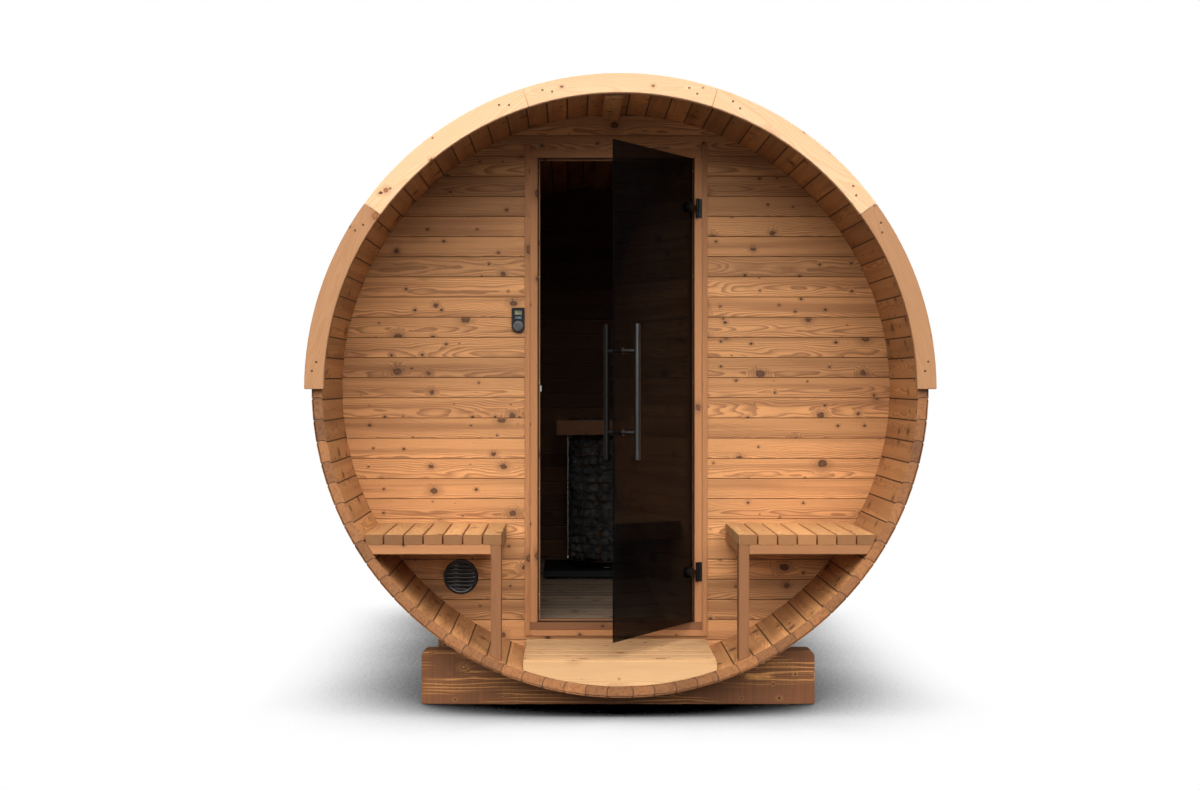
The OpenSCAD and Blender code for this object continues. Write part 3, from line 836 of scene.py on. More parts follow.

# %% [markdown]
# ## Walls
# Both walls are tongued boards laid level, 80 mm to each course, with a small bevel on both edges.
# The bevels catch the light under each dark joint. The row is cut to the inside of the staves, and
# the porch wall also to the door frame. The courses run on above and below the door, so the four
# parts share one seed and one set of course heights. The rear wall's inner face is painted much
# darker than its outer one, as painted shade for the dim room.

# %% Lay the wall boards
COURSE = 0.0803
COURSES = 28
BEVEL = 0.003
TONGUE = 0.0003
FIRST_COURSE = AXIS + 0.0425 - COURSES / 2 * COURSE
TOP_EDGE, LOWEST_EDGE = AXIS + SNUG, AXIS - SNUG
ROOM_SIDE_PAINTED_SHADE = -0.75


def wall_seed(thick):
    """One wall board with its lower edge at 0 and its front face at 0. Its edges run a hair into
    the next courses, as a tongue does, so that no light comes through."""
    heights = [-TONGUE, BEVEL, *(COURSE * k / 6 for k in range(1, 6)), COURSE - BEVEL,
               COURSE + TONGUE]
    line = [(z, 0.0, thick) for z in heights]
    for n in (0, -1):
        line[n] = (heights[n], BEVEL, thick - BEVEL)
    mesh = plank("wall board", line, lambda along, z, through: (along, through, z))
    write(mesh, "edge", [2 * v.co.z / COURSE - 1 for v in mesh.vertices])
    return mesh


def wall_part(name, node, left, right, lowest, highest):
    lo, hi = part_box(node)
    made = grow(name, wall_seed(hi.y - lo.y), ROW, Count=COURSES, Start=(0, lo.y, FIRST_COURSE),
                Step=(0, 0, COURSE), Centre=HUB, Radius=INNER - PLAY, Left=left, Right=right,
                Lowest=lowest, Highest=highest, Seed=7 if "porch" in name else 8,
                Material=wall_wood)
    return grain_rows(made, "xzy")


door_side = low("front_wall_right").x
door_top, door_foot = low("front_wall_head").z, high("front_wall_base").z
limits = {"left": (-FAR, -door_side, LOWEST_EDGE, TOP_EDGE),
          "right": (door_side, FAR, LOWEST_EDGE, TOP_EDGE),
          "head": (-door_side, door_side, door_top, TOP_EDGE),
          "base": (-door_side, door_side, LOWEST_EDGE, door_foot)}
parts = [wall_part("porch_" + part, "front_wall_" + part, *edges)
         for part, edges in limits.items()]
dress(join("porch_wall_boards", parts), ["front_wall_" + part for part in limits])

rear_wall = wall_part("rear_wall_boards", "rear_wall", -FAR, FAR, LOWEST_EDGE, TOP_EDGE)
inside = (low("rear_wall").y + high("rear_wall").y) / 2
# Painted shade: the room side of the rear wall is made much darker than the porch side.
write(rear_wall.data, "shade", [ROOM_SIDE_PAINTED_SHADE * (v.co.y < inside) for v in rear_wall.data.vertices])
dress(rear_wall, ["rear_wall"])

# %% [markdown]
# ## Arches, cradles and porch timber
# Five curved boards form each arch. They are sawn from straight planks, so the grain runs straight
# through each board and meets the curve at an angle near its ends. Each board therefore gets its own
# axes, turned to its middle. Long timbers such as the cradles need no new shape: a copy of the
# frame's solid gets planed edges and grain.

# %% Finish the arches and beams
ARCH_BOARDS = 5
BOARD_TURN = math.pi / ARCH_BOARDS


def round_the_axis(centre):
    """Axes of a board on the barrel: along the circle, away from the axis, along the barrel."""
    out = Vector((centre.x, 0, centre.z - AXIS)).normalized()
    return Matrix([(out.z, 0, -out.x), out, (0, 1, 0)])


def arch_painted_shade(point):
    """Painted shade: the two lowest boards of an arch are made darker than the three above."""
    return -0.45 if abs(math.atan2(point.x, point.z - AXIS)) > 1.5 * BOARD_TURN else 0.0


for end in ("front", "rear"):
    planed(end + "_arch_boards", end + "_fascia", round_the_axis, fascia_wood, 0.002,
           arch_painted_shade)
for beam in ("front", "front_middle", "rear_middle", "rear"):
    planed("beam_" + beam, "cradle_" + beam, "xzy", cradle_wood, 0.003)
planed("porch_edge_board", "porch_floor_front", "xzy", deck_wood, 0.002)
planed("porch_bearers", "porch_floor_bearers", "yxz", deck_wood, 0.001)
planed("room_joists", "room_floor_joists", "yxz", floor_wood, 0.001)
planed("ridge_board", "ridge_batten", "yxz", thermo, 0.002)

# %% [markdown]
# ## Screws in the arches
# Two countersunk screws hold each end of an arch board to the staves. One seed holds the four screws
# of a board, and the ring tree turns it to the five boards. A screw head is a shallow dish with a
# dark recess.


# %% Drive the arch screws
def metal(name, shade, rough, metallic=1.0, grain=(40, 40, 40)):
    """Metal with faint rubbing marks. grain stretches them: brushed metal has them long and thin."""
    f = Finish(name)
    place = f.place()
    rub = f.noise(f.stretch(place, grain), 6.0, 4.0, 0.65)
    cloud = f.noise(place, 9.0)
    worn = f.span(f.plus(f.times(rub, 0.5), f.times(cloud, 0.5)), 0.35, 0.65)
    dim = tuple(c * 0.85 for c in shade[:3]) + (1.0,)
    gloss = f.span(rub, 0.3, 0.7, max(rough - 0.08, 0.03), rough + 0.08)
    return f.finish(f.mix(worn, dim, shade), gloss, rub, 0.0001, 0.25, Metallic=metallic)


SCREW = [(0.0042, -0.006), (0.0042, 0.0), (0.0036, 0.0006), (0.0016, 0.0004), (0.0016, -0.0012)]
SCREW_PLACES = ((-14.6, 0.007), (-12.9, -0.007), (12.9, 0.007), (14.6, -0.007))
screw_metal = metal("dark screw", colour(46, 38, 32), 0.45)
arch_middle = (high("front_fascia").x + INNER + 0.008) / 2 - 0.006


def arch_screws(face_y, outwards):
    """The four screws of the topmost board, each at an angle in degrees and off the middle line."""
    heads = []
    for degrees, lift in SCREW_PLACES:
        angle, reach = math.radians(degrees), arch_middle + lift
        spot = facing(reach * math.sin(angle), face_y, reach * math.cos(angle), outwards)
        heads.append(turned("screw", SCREW, 10, spot))
    return gather("arch screws", heads)


for end, face_y, outwards in (("front", low("front_fascia").y, -1), ("rear", high("rear_fascia").y, 1)):
    screws = grow(end + "_arch_screws", arch_screws(face_y, outwards), RING, Count=ARCH_BOARDS,
                  Centre=HUB, First_turn=(0, -2 * BOARD_TURN, 0), Turn=(0, BOARD_TURN, 0), Seed=3,
                  Material=screw_metal)
    add_to_shell(soften(screws))

# %% [markdown]
# ## Roofing and bands
# Strips of mineral felt lie round the top of the barrel, each lapping the next. The felt is black
# with fine chippings. Steel bands pull the staves together below it. Two lugs and a bolt on each
# side tighten a band.

# %% Lay the roofing strips
STRIPS = 3
LAP = 0.06
FELT_THICK = 0.0032
ARC_STEPS = 96


def felt_finish():
    f = Finish("mineral felt")
    place = f.place()
    chips = f.node("TexVoronoi", {"Vector": place, "Scale": 420.0}).outputs
    tone = f.split(chips["Color"])[0]
    base = f.mix(f.span(tone, 0.2, 0.95), colour(34, 34, 36), colour(84, 84, 88))
    cloud = f.span(f.noise(place, 3.0, 4.0), 0.35, 0.7, 0.0, 0.5)
    base = f.mix(cloud, base, colour(30, 30, 31))
    return f.finish(base, f.span(tone, 0.0, 1.0, 0.75, 0.95), chips["Distance"], 0.001, 0.5)


def felt_seed():
    """One strip along its length of the barrel, built from y = 0: a thin arc whose far edge lifts
    over the next strip."""
    lo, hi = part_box("roof_covering")
    width = (hi.y - lo.y - LAP) / STRIPS + LAP
    inside = OUTER + 0.0006
    lift = hi.z - AXIS - inside - FELT_THICK
    foot = math.asin((lo.z - AXIS) / (hi.z - AXIS))
    edge = [(0.0, 0.0), (LAP, 0.0), (LAP + 0.02, 0.0), (width - LAP - 0.01, 0.0),
            (width - LAP + 0.008, lift), (width, lift)]
    points = []
    for k in range(ARC_STEPS + 1):
        angle = foot + (math.pi - 2 * foot) * k / ARC_STEPS
        for y, up in edge:
            thick = FELT_THICK * (0.75 if up or y < LAP + 0.01 else 1.0)
            for r in (inside + up, inside + up + thick):
                points.append((r * math.cos(angle), y, r * math.sin(angle)))
    n, faces = 2 * len(edge), []
    pairs = range(0, n - 2, 2)
    for k in range(0, ARC_STEPS * n, n):
        for a in (k + i for i in pairs):
            faces += [(a, a + 2, a + 2 + n, a + n), (a + 1, a + 1 + n, a + 3 + n, a + 3)]
        faces += [(a, a + 1, a + 1 + n, a + n) for a in (k, k + n - 2)]
    for k in (0, ARC_STEPS * n):
        faces += [(k + i, k + i + 1, k + i + 3, k + i + 2) for i in pairs]
    return closed_mesh("felt strip", points, faces), width


felt_strip, strip_width = felt_seed()
roof = grow("roofing_strips", felt_strip, ROW, Count=STRIPS, Start=(0, low("roof_covering").y, AXIS),
            Step=(0, strip_width - LAP, 0), Centre=HUB, Seed=5, Material=felt_finish())
dress(soften(roof, 20), ["roof_covering"])

# %% Fit the bands' bolts
LOCK_BELOW = math.radians(22.0)
LUG, LUG_RISE = (0.018, 0.022, 0.004, 1), 0.02
BOLT = ((0, 0.074, 0.0035), (-0.026, 0.006, 0.0075), (0.026, 0.006, 0.0075))
band_steel = metal("band steel", colour(206, 208, 210), 0.38, grain=(8, 300, 8))
refinish("steel_bands", band_steel)


def lock_seed():
    """Two folded lugs and the bolt between them, on the right of a band and below the axis."""
    side = Matrix.Rotation(LOCK_BELOW, 4, "Y") @ Matrix.Translation((OUTER, 0, 0))
    work = bmesh.new()
    for rise in (-LUG_RISE, LUG_RISE):
        lug = Matrix.Translation((0.007, 0, rise)) @ Matrix.Diagonal(LUG)
        bmesh.ops.create_cube(work, size=1.0, matrix=side @ lug)
    for rise, length, radius in BOLT:
        bmesh.ops.create_cone(work, cap_ends=True, segments=6, radius1=radius, radius2=radius,
                              depth=length, matrix=side @ Matrix.Translation((0.009, 0, rise)))
    return plain_mesh("band lock", work)


bands = frame["nodes"]["steel_bands"].data
hoops = sorted(sum(bands.vertices[i].co.y for i in hoop) / len(hoop) for hoop in islands(bands))
locks = [grow(f"lock_{n}", lock_seed(), RING, Count=2, Centre=(0, y, AXIS), Turn=(0, 0, math.pi),
              Seed=70 + n, Material=band_steel) for n, y in enumerate(hoops)]
add_to_shell(soften(join("band_bolts", locks)))
print("bands at", [round(y, 3) for y in hoops])

# %% [markdown]
# ## Door frame
# Planed timber stands round the opening, with a thin stop inside it and a black rubber seal in the
# corner between. The sill and the stops are darker. Small plugs hide the stop's screws, and a bright
# catch sits half-way up the closing side.

# %% Plane the door frame
SILL_SHADE, STOP_SHADE = -0.4, -0.35


def upright_or_level(limit):
    """Turns for a surround: pieces more than limit off the middle run up, the others across."""
    return lambda centre: laid("zxy" if abs(centre.x) > limit else "xzy")


for node, order in (("door_jamb_left", "zxy"), ("door_jamb_right", "zxy"), ("door_head", "xzy")):
    planed(node + "_timber", node, order, frame_wood, 0.002)
planed("door_sill_timber", "door_sill", "xzy", frame_wood, 0.002,
       lambda point: SILL_SHADE)
planed("door_surround_strips", "door_trim", upright_or_level(0.3), frame_wood, 0.002)
planed("door_stop_strips", "door_stop", upright_or_level(0.29), frame_wood, 0.001,
       lambda point: STOP_SHADE)
planed("threshold_board", "threshold_strip", "xzy", frame_wood)

# %% [markdown]
# The seal is a soft black strip that lies in the corner between the frame and the stop, all the way
# round, just clear of the shut glass. A curve follows the opening and gets a small round section,
# then becomes a mesh.

# %% Fit the rubber seal
SEAL = 0.003


def rubber_finish():
    f = Finish("black rubber")
    dust = f.noise(f.place(), 40.0, 4.0, 0.6)
    base = f.mix(f.span(dust, 0.4, 0.8), colour(7, 7, 8), colour(18, 18, 18))
    return f.finish(base, f.span(dust, 0.3, 0.7, 0.5, 0.7), dust, 0.0002, 0.3)


def tube(name, points, radius, closed=False, material=None):
    """A round bar along points, as a mesh in place."""
    curve = bpy.data.curves.new(name, "CURVE")
    curve.dimensions, curve.bevel_depth, curve.bevel_resolution = "3D", radius, 1
    curve.use_fill_caps = True
    spline = curve.splines.new("POLY")
    spline.points.add(len(points) - 1)
    for point, spot in zip(spline.points, points):
        point.co = (*spot, 1.0)
    spline.use_cyclic_u = closed
    holder = place_object(name, curve)
    view = bpy.context.evaluated_depsgraph_get()
    work = bmesh.new()
    work.from_mesh(bpy.data.meshes.new_from_object(holder.evaluated_get(view)))
    bpy.data.objects.remove(holder)
    bmesh.ops.remove_doubles(work, verts=work.verts, dist=0.00001)
    bmesh.ops.recalc_face_normals(work, faces=work.faces)
    return plain_mesh(name, work, material)


open_left, open_right = high("door_jamb_left").x, low("door_jamb_right").x
open_foot, open_head = high("door_sill").z, low("door_head").z
seal_y = low("door_stop").y - SEAL - 0.0005
seal_x = (open_left + SEAL, open_right - SEAL)
seal_z = (open_foot + SEAL, open_head - SEAL)
corners = [(seal_x[i], seal_y, seal_z[k]) for i, k in ((0, 0), (1, 0), (1, 1), (0, 1))]
seal = tube("seal", corners, SEAL, closed=True, material=rubber_finish())
add_to_shell(soften(place_object("door_seal", seal), 60))

# %% Set the plugs of the stop
PLUGS = 5
PLUG = [(0.0036, 0.004), (0.0036, 0.0005), (0.003, -0.0003)]
plug_step = (open_head - open_foot - 0.16) / (PLUGS - 1)
plug_face = low("door_stop").y - 0.0008
for side, x in (("left", open_left + 0.0055), ("right", open_right - 0.0055)):
    plugs = grow("stop_plugs_" + side, turned("plug", PLUG, 12, facing(0, 0, 0, 1)), ROW,
                 Count=PLUGS, Start=(x, plug_face, open_foot + 0.11), Step=(0, 0, plug_step),
                 Seed=2, Material=deck_wood)
    add_to_shell(soften(grain_rows(plugs, "yxz")))
refinish("door_catch", metal("bright catch", colour(206, 206, 204), 0.22))

# %% [markdown]
# ## Door
# The leaf is one sheet of smoked safety glass. It hangs in clamps and shows what is behind it, only
# darker. Clearness is set as plain alpha, the same on both faces, so two faces let through about a
# seventeenth of the light. Wiping marks vary the gloss a little. The pulls are brushed tubes, dark
# outside and black inside.


# %% Finish the glass
def smoked_finish():
    f = Finish("smoked glass")
    smear = f.noise(f.stretch(f.place(), (3, 3, 1.2)), 2.5, 4.0, 0.6)
    base = f.mix(f.span(smear, 0.35, 0.7), colour(6, 6, 7), colour(12, 12, 13))
    return f.finish(base, f.span(smear, 0.35, 0.75, 0.01, 0.05), Alpha=0.76, IOR=1.45,
                    Specular_IOR_Level=0.09)


copied("glass_leaf", "door_glass", smoked_finish(), 0.001, 1)

# %% Finish the pulls and hinges
pull_metal = metal("brushed graphite", colour(92, 90, 90), 0.34, grain=(300, 300, 6))
hinge_black = metal("black hinge coat", colour(22, 22, 23), 0.42, metallic=0.6)
copied("outer_pull", "door_handle_outer", pull_metal)
copied("inner_pull", "door_handle_inner", hinge_black)
copied("glass_clamps", "door_clamps", hinge_black, 0.001)
copied("hinge_plates", "hinge_leaves", hinge_black)

# %% [markdown]
# ## Porch and floors
# The floor boards have a ribbed face, so that wet feet don't slip: shallow grooves run along each
# board, three on the porch and four in the room. Painted shade darkens the grooves and the low
# rounded edges at the seams between boards.

# %% Lay the ribbed floors
BOARD_GAP = 0.007
ROUNDED = 0.007
# Widens the dark band at each board seam, as painted shade, and moves the painted bevel highlight in
# with it.
SEAM_SHADE_SPREAD = 1.06
GROOVE_DEEP, GROOVE_FOOT, GROOVE_TOP = 0.005, 0.0045, 0.006
GROOVE_AND_SEAM_PAINTED_SHADE = -0.9


def ribbed_seed(width, thick, grooves):
    """A floor board along x, with its front edge at 0 and its top at 0."""
    line = [(0.0, GROOVE_DEEP), (ROUNDED, 0.0)]
    pitch = (width - 0.006) / grooves
    for k in range(grooves):
        middle = 0.003 + pitch * (k + 0.5)
        line += [(middle - GROOVE_TOP, 0.0), (middle - GROOVE_FOOT, GROOVE_DEEP),
                 (middle + GROOVE_FOOT, GROOVE_DEEP), (middle + GROOVE_TOP, 0.0)]
    line += [(width - ROUNDED, 0.0), (width, GROOVE_DEEP)]
    mesh = plank("ribbed board", [(a, -down, -thick) for a, down in line],
                 lambda along, a, t: (along, a, t))
    write(mesh, "edge", [SEAM_SHADE_SPREAD * (2 * v.co.y / width - 1) for v in mesh.vertices])
    return mesh


def lay(name, node, count, grooves, material, number, shade):
    """A floor of count boards that fills the box of its node."""
    lo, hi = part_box(node)
    pitch = (hi.y - lo.y + BOARD_GAP) / count
    made = grow(name, ribbed_seed(pitch - BOARD_GAP, hi.z - lo.z, grooves), ROW, Count=count,
                Start=(0, lo.y, hi.z), Step=(0, pitch, 0), Centre=HUB, Radius=SNUG, Left=lo.x,
                Right=hi.x, Seed=number, Material=material)
    # Painted shade: points in a groove or low at a seam get a dark tone, the rest the floor's given
    # tone.
    write(made.data, "shade", [GROOVE_AND_SEAM_PAINTED_SHADE if lo.z + 0.001 < v.co.z < hi.z - 0.004 else shade
                               for v in made.data.vertices])
    dress(grain_rows(made, "xyz"), [node])


lay("porch_deck", "porch_floor_boards", 5, 3, deck_wood, 21, -0.12)
lay("room_deck", "room_floor_boards", 23, 4, floor_wood, 22, 0.0)

# %% [markdown]
# The bench slats lie front to back, with a finger's gap between them, on a frame of two rails, a
# cross rail and a leg. The slats are thick, with rounded long edges, and the last one is cut to the
# staves. The frame's timbers are boxes cut to the staves at their outer ends, each with its own
# grain.

# %% Build the porch benches
SLATS, SLAT_WIDTH, SLAT_PITCH = 7, 0.066, 0.0725
ROUND = 0.004
RAIL, RAIL_DEEP, LEG_DEEP = 0.038, 0.035, 0.068
BUTT = 0.0002
# Painted shade: the legs are made darker, as fronts lit less by the high lamp.
LEG_PAINTED_SHADE = -0.4


def slat_seed(length, thick):
    line = [(0.0, ROUND), (ROUND * 0.3, ROUND * 0.3), (ROUND, 0.0)]
    line += [(SLAT_WIDTH - a, down) for a, down in reversed(line)]
    return plank("slat", [(a, -down, down * 0.6 - thick) for a, down in line],
                 lambda along, a, t: (a, along, t), length / 2)


def timber(lo, hi, order, shade=0.0):
    """One squared timber from corner lo to corner hi, cut to the staves where it passes them."""
    work = bmesh.new()
    bmesh.ops.create_cube(work, size=1.0)
    for vert in work.verts:
        vert.co = Vector([lo[a] if vert.co[a] < 0 else hi[a] for a in range(3)])
        rise = vert.co.z - AXIS
        if math.hypot(vert.co.x, rise) > SNUG:
            if order[0] == "x":
                vert.co.x = math.copysign(math.sqrt(SNUG ** 2 - rise ** 2), vert.co.x)
            else:
                vert.co.z = AXIS - math.sqrt(SNUG ** 2 - vert.co.x ** 2)
    bmesh.ops.bevel(work, geom=work.edges[:], offset=0.002, segments=2, affect="EDGES",
                    clamp_overlap=True)
    mesh = plain_mesh("timber", work, frame_wood)
    write(mesh, "shade", [shade] * len(mesh.vertices))
    return soften(grain_islands(place_object("timber", mesh), order), 20)


# Painted shade: the right bench's long rails are made darker than the left ones.
for side, sign, number, rail_painted_shade in (("left", -1, 35, 0.0), ("right", 1, 31, -0.24)):
    slats_node, frame_node = f"bench_{side}_slats", f"bench_{side}_frame"
    lo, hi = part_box(slats_node)
    inner, start = (lo.x, lo.x) if sign > 0 else (hi.x, hi.x - SLAT_WIDTH)
    slats = grow(f"bench_slats_{side}", slat_seed(hi.y - lo.y, hi.z - lo.z), ROW, Count=SLATS,
                 Start=(start, (lo.y + hi.y) / 2, hi.z), Step=(sign * SLAT_PITCH, 0, 0),
                 Centre=HUB, Radius=SNUG, Seed=number, Material=bench_wood)
    dress(soften(grain_rows(slats, "yxz"), 20), [slats_node])
    lo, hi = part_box(frame_node)
    top, foot = hi.z, hi.z - RAIL_DEEP
    near = sorted((inner, inner + sign * RAIL))
    far = sorted((inner + sign * (RAIL + BUTT), sign * 1.05))
    parts = [timber((far[0], y, foot), (far[1], y + RAIL, top), "xzy", rail_painted_shade)
             for y in (lo.y, hi.y - RAIL)]
    parts.append(timber((near[0], lo.y + LEG_DEEP + BUTT, foot), (near[1], hi.y, top), "yxz"))
    parts.append(timber((near[0], lo.y, 0.0), (near[1], lo.y + LEG_DEEP, top), "zxy", LEG_PAINTED_SHADE))
    dress(join(f"bench_frame_{side}", parts), [frame_node])

# %% [markdown]
# ## Heater
# A basket of round wire rings on upright rods holds a column of dark stones. It stands on a bright
# cone over a black drip tray, and a timber guard keeps people off. Rings and rods are copies from
# the trees. The stones come from a third tree: it scatters points over the column, puts a rough ball
# on each, turned and sized by chance, and then dents every ball with noise after they are set, so
# that no two are alike.

# %% Bend the basket
stone_lo, stone_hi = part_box("heater_stones")
basket_lo, basket_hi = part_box("heater_basket")
heater_y = (basket_lo.y + basket_hi.y) / 2
radius = (basket_hi.x - basket_lo.x) / 2
basket_foot = stone_lo.z - 0.004
foot_high = basket_foot - basket_lo.z
WIRE, RODS, RINGS, RING_SIDES = 0.0022, 14, 17, 40
polished = metal("polished steel", colour(196, 196, 194), 0.18)
turns = [math.tau * k / RING_SIDES for k in range(RING_SIDES)]
circle = [((radius - WIRE) * math.cos(a), (radius - WIRE) * math.sin(a), 0.0) for a in turns]
ring_step = (basket_hi.z - basket_foot - 2 * WIRE) / (RINGS - 1)
rings = grow("basket_rings", tube("ring", circle, WIRE, closed=True), ROW, Count=RINGS, Seed=1,
             Start=(0, heater_y, basket_foot + WIRE), Step=(0, 0, ring_step), Material=polished)
rod_x = radius - 3 * WIRE
rod = tube("rod", [(rod_x, 0, basket_foot), (rod_x, 0, basket_hi.z - WIRE)], WIRE)
rods = grow("basket_rods", rod, RING, Count=RODS, Centre=(0, heater_y, 0), Seed=1,
            Turn=(0, 0, math.tau / RODS), Material=polished)
plate = [(0.25 * radius, -0.0001), (radius - WIRE, 0.0), (radius - WIRE, 0.003), (0.001, 0.003)]
cone = [(0.62 * radius, 0.0), (0.6 * radius, 0.004), (0.4 * radius, foot_high * 0.7),
        (0.34 * radius, foot_high - 0.0002)]
solid = gather("basket_foot", [turned("plate", plate, 48, standing(heater_y, basket_foot)),
                               turned("cone", cone, 48, standing(heater_y, basket_lo.z))], polished)
basket = join("heater_wire_basket", [rings, rods, place_object("basket_foot", solid)])
dress(soften(basket, 50), ["heater_basket"])


# %% Write the stones tree and finish
def stones_tree():
    t = Tree("stones on a surface", ("Spacing", "Float", 0.05), ("Smallest", "Float", 0.02),
             ("Largest", "Float", 0.03), ("Dents", "Float", 0.012))
    spread = t.node("GeometryNodeDistributePointsOnFaces",
                    {"Mesh": t.given["Geometry"], "Distance Min": t.given["Spacing"],
                     "Density Max": 3000.0, "Density Factor": 1.0, "Seed": t.given["Seed"]},
                    distribute_method="POISSON")
    ball = t.node("GeometryNodeMeshIcoSphere", {"Radius": 1.0, "Subdivisions": 2}).outputs[0]
    turn = t.node("FunctionNodeEulerToRotation", {0: t.chance(NOWHERE, (math.tau,) * 3)})
    size = t.chance(t.given["Smallest"], t.given["Largest"], 9)
    size = t.scaled(t.chance((0.75, 0.8, 0.75), (1.15, 1.2, 1.05), 12), size)
    real = t.real(t.copies(spread.outputs[0], ball, Rotation=turn.outputs[0], Scale=size))
    place = t.node("GeometryNodeInputPosition").outputs[0]
    bumps = t.node("ShaderNodeTexNoise", {"Vector": place, "Scale": 34.0, "Detail": 1.0})
    dent = t.sway(bumps.outputs["Fac"], t.given["Dents"])
    out = t.scaled(t.node("GeometryNodeInputNormal").outputs[0], dent)
    return t.close(t.node("GeometryNodeSetPosition", {"Geometry": real, "Offset": out}).outputs[0])


def stone_finish():
    f = Finish("heater stone")
    place = f.place()
    grit = f.noise(place, 160.0, 5.0, 0.7)
    vein = f.noise(place, 22.0, 3.0)
    base = f.mix(f.span(vein, 0.35, 0.7), colour(58, 58, 58), colour(96, 95, 92))
    base = f.mix(f.times(f.carried("board"), 0.5), base, colour(44, 46, 48))
    base = f.mix(f.span(grit, 0.55, 0.75, 0.0, 0.5), base, colour(140, 138, 132))
    return f.finish(base, f.span(grit, 0.3, 0.7, 0.7, 0.92), grit, 0.0015, 0.5)


STONES, stone = stones_tree(), stone_finish()
print("tree:", STONES.name)

# %% Fill the basket with stones
STONE = 0.024
fill = radius - 4 * WIRE - STONE
tall = stone_hi.z - stone_lo.z
column = turned("column", [(0.02, 0.0), (fill, 0.0), (fill, tall - 2 * STONE),
                           (0.02, tall - 2 * STONE + 0.005)], 32,
                standing(heater_y, stone_lo.z + STONE))
core = turned("core", [(0.05, 0.0), (fill - 0.002, 0.004), (fill - 0.002, tall - 0.06),
                       (0.05, tall - 0.055)], 32, standing(heater_y, stone_lo.z + 0.01), stone)
stones = grow("stones", column, STONES, Spacing=0.036, Smallest=0.021, Largest=0.027, Dents=0.014,
              Seed=6, Material=stone)
stones = join("heater_stone_column", [stones, place_object("core", core)])
dress(soften(stones, 180), ["heater_stones"])

# %% Stand the guard and the tray
# Painted shade: the guard's front rail is made darker, for the dim room behind the door.
GUARD, GUARD_PAINTED_SHADE = 0.026, -0.5
lo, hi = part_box("heater_guard")
guard = [timber(lo, (hi.x, lo.y + GUARD, hi.z), "xzy", GUARD_PAINTED_SHADE)]
guard += [timber((x, lo.y + GUARD + BUTT, lo.z), (x + GUARD, hi.y, hi.z), "yzx")
          for x in (lo.x, hi.x - GUARD)]
dress(join("heater_guard_rails", guard), ["heater_guard"])
tray_metal = metal("black tray", colour(26, 26, 27), 0.5, metallic=0.5)
copied("drip_tray", "heater_tray", tray_metal, 0.002)

# %% [markdown]
# ## Fittings on the porch wall
# Under the left bench sits a round air vent in glossy black plastic: a turned flange with curved
# louvres, cut to its circle by the row tree. Beside the door is the heater's control, black glass
# with two small displays over a dial.


# %% Make the vent
def plastic(name, shade, rough):
    f = Finish(name)
    cloud = f.noise(f.place(), 60.0, 3.0)
    lift = tuple(min(1.0, c * 1.5 + 0.003) for c in shade[:3]) + (1.0,)
    base = f.mix(f.span(cloud, 0.35, 0.7), shade, lift)
    return f.finish(base, f.span(cloud, 0.3, 0.7, rough, rough + 0.08), cloud, 0.0001, 0.2)


LOUVRE, LOUVRES = 0.015, 7
vent_plastic = plastic("vent plastic", colour(13, 10, 9), 0.10)
lo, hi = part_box("vent_grille")
vent = Vector(((lo.x + hi.x) / 2, hi.y, (lo.z + hi.z) / 2))
rim = (hi.x - lo.x) / 2
outline = [(0.001, 0.0004), (rim, 0.0004), (rim, 0.004), (rim - 0.003, 0.0074),
           (rim - 0.008, 0.008), (rim - 0.0125, 0.0064), (rim - 0.0135, 0.0016), (0.001, 0.0016)]
flange = place_object("flange", turned("flange", outline, 64, facing(*vent, -1), vent_plastic))
bow = [(-0.0062, 0.0072), (-0.0045, 0.0079), (-0.0015, 0.0076), (0.002, 0.006), (0.0046, 0.0036)]
louvre = plank("louvre", [(z, -out, 0.0016 - out) for z, out in bow],
               lambda along, z, t: (along, t, z), 0.08)
louvres = grow("louvres", louvre, ROW, Count=LOUVRES, Step=(0, 0, LOUVRE), Centre=tuple(vent),
               Start=(vent.x, vent.y, vent.z - (LOUVRES - 1) / 2 * LOUVRE), Radius=rim - 0.0132,
               Seed=1, Material=vent_plastic)
dress(soften(join("air_vent", [flange, louvres]), 40), ["vent_grille"])

# %% Make the control
CORNER_ROUND = 0.0025
copied("control_body", "control_unit", plastic("control glass", colour(12, 12, 13), 0.08),
       0.0015, 3)
lo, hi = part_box("control_unit")
mid, face = (lo.x + hi.x) / 2, hi.y - 0.014
dial_z = lo.z + mid - lo.x


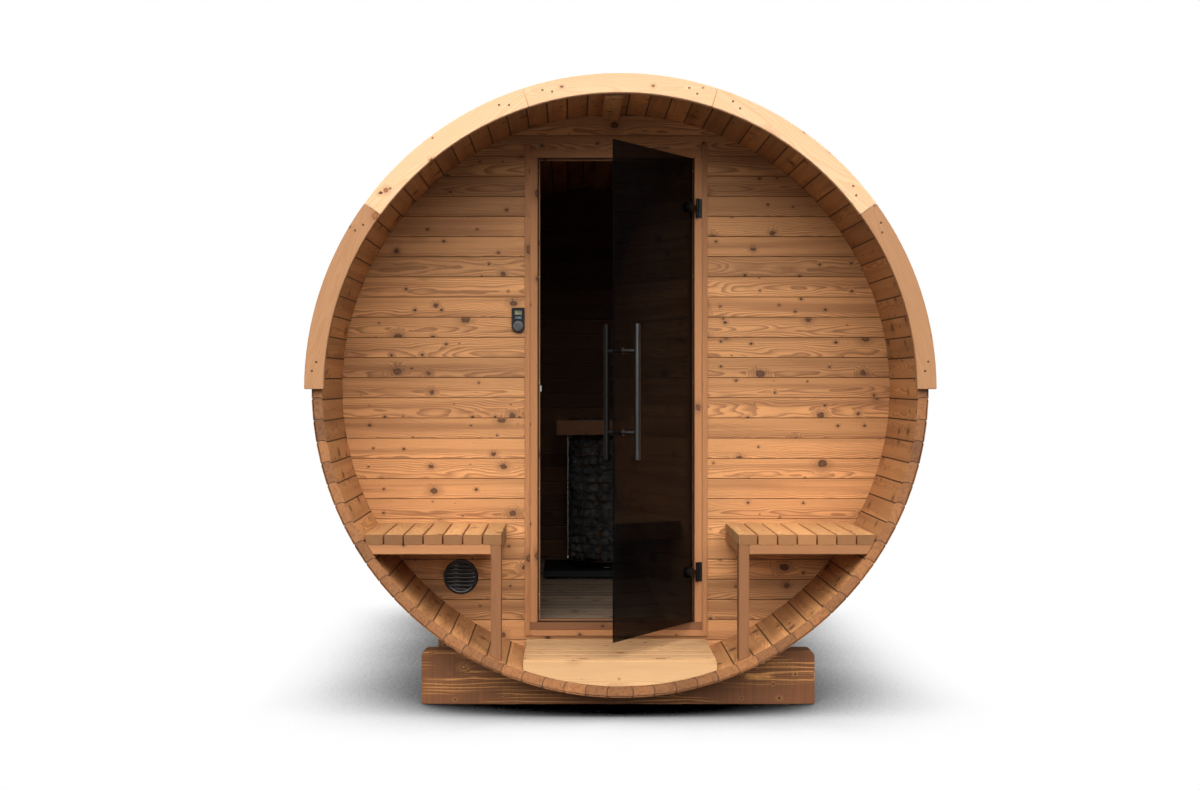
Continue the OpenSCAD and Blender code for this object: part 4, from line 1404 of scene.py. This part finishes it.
def badge(name, half_width, z0, z1, material):
    """A display: a thin plate with round corners, just proud of the glass."""
    outline = []
    for sx, sz, turns in ((1, 1, (90, 45, 0)), (1, -1, (0, 45, 90)), (-1, -1, (90, 45, 0)),
                          (-1, 1, (0, 45, 90))):
        for t in map(math.radians, turns):
            x = sx * (half_width - CORNER_ROUND * (1 - math.sin(t)))
            z = (z1 if sz > 0 else z0) - sz * CORNER_ROUND * (1 - math.cos(t))
            outline.append((mid + x, z))
    n = len(outline)
    points = [(x, face + 0.0004, z) for x, z in outline] + [(x, face - 0.0006, z) for x, z in outline]
    faces = [tuple(range(n)), tuple(range(n, 2 * n))]
    faces += [(k, (k + 1) % n, (k + 1) % n + n, k + n) for k in range(n)]
    return place_object(name, closed_mesh(name, points, faces, material))


upper = badge("upper_display", 0.016, hi.z - 0.030, hi.z - 0.009,
              plastic("warm display", colour(112, 112, 84), 0.25))
lower = badge("lower_display", 0.014, hi.z - 0.046, hi.z - 0.032,
              plastic("cool display", colour(84, 96, 108), 0.25))
dial = turned("dial_cap", [(0.0205, 0.004), (0.0205, 0.0052), (0.0198, 0.0056), (0.0150, 0.0058),
                           (0.001, 0.0058)], 40, facing(mid, face, dial_z, -1),
              plastic("dial grey", colour(58, 58, 58), 0.35))
for piece in (upper, lower, place_object("dial_cap", dial)):
    add_to_shell(soften(piece))

# %% [markdown]
# ## Floor of the studio
# A plain white floor, not part of the building, carries the soft shadow under the cradles. To the
# camera it glows where the space above it is open and darkens where the barrel covers it. To the
# building it returns little light, so that the undersides stay dark.

# %% Lay the studio floor
SHADOW_REACH = 0.75
RETURNED = grey(0.13)
FLOOR_HALF = 60
BLACK = grey(0.0)
pale = Finish("studio floor")
seen = pale.node("LightPath").outputs["Is Camera Ray"]
open_above = pale.node("AmbientOcclusion", {"Distance": SHADOW_REACH}, samples=8).outputs["AO"]
glow = pale.even(pale.span(open_above, 0.25, 0.92))
plug(pale.shader, {"Emission Color": pale.mix(seen, BLACK, glow), "Emission Strength": 1.0})
pale.finish(pale.mix(seen, RETURNED, BLACK), Roughness=1.0, Specular_IOR_Level=0.0)
corners = [(x * FLOOR_HALF, y * FLOOR_HALF, 0) for x, y in ((-1, -1), (1, -1), (1, 1), (-1, 1))]
studio = closed_mesh("studio floor", corners, [(0, 1, 2, 3)], pale.material)
place_object("studio_floor", studio)
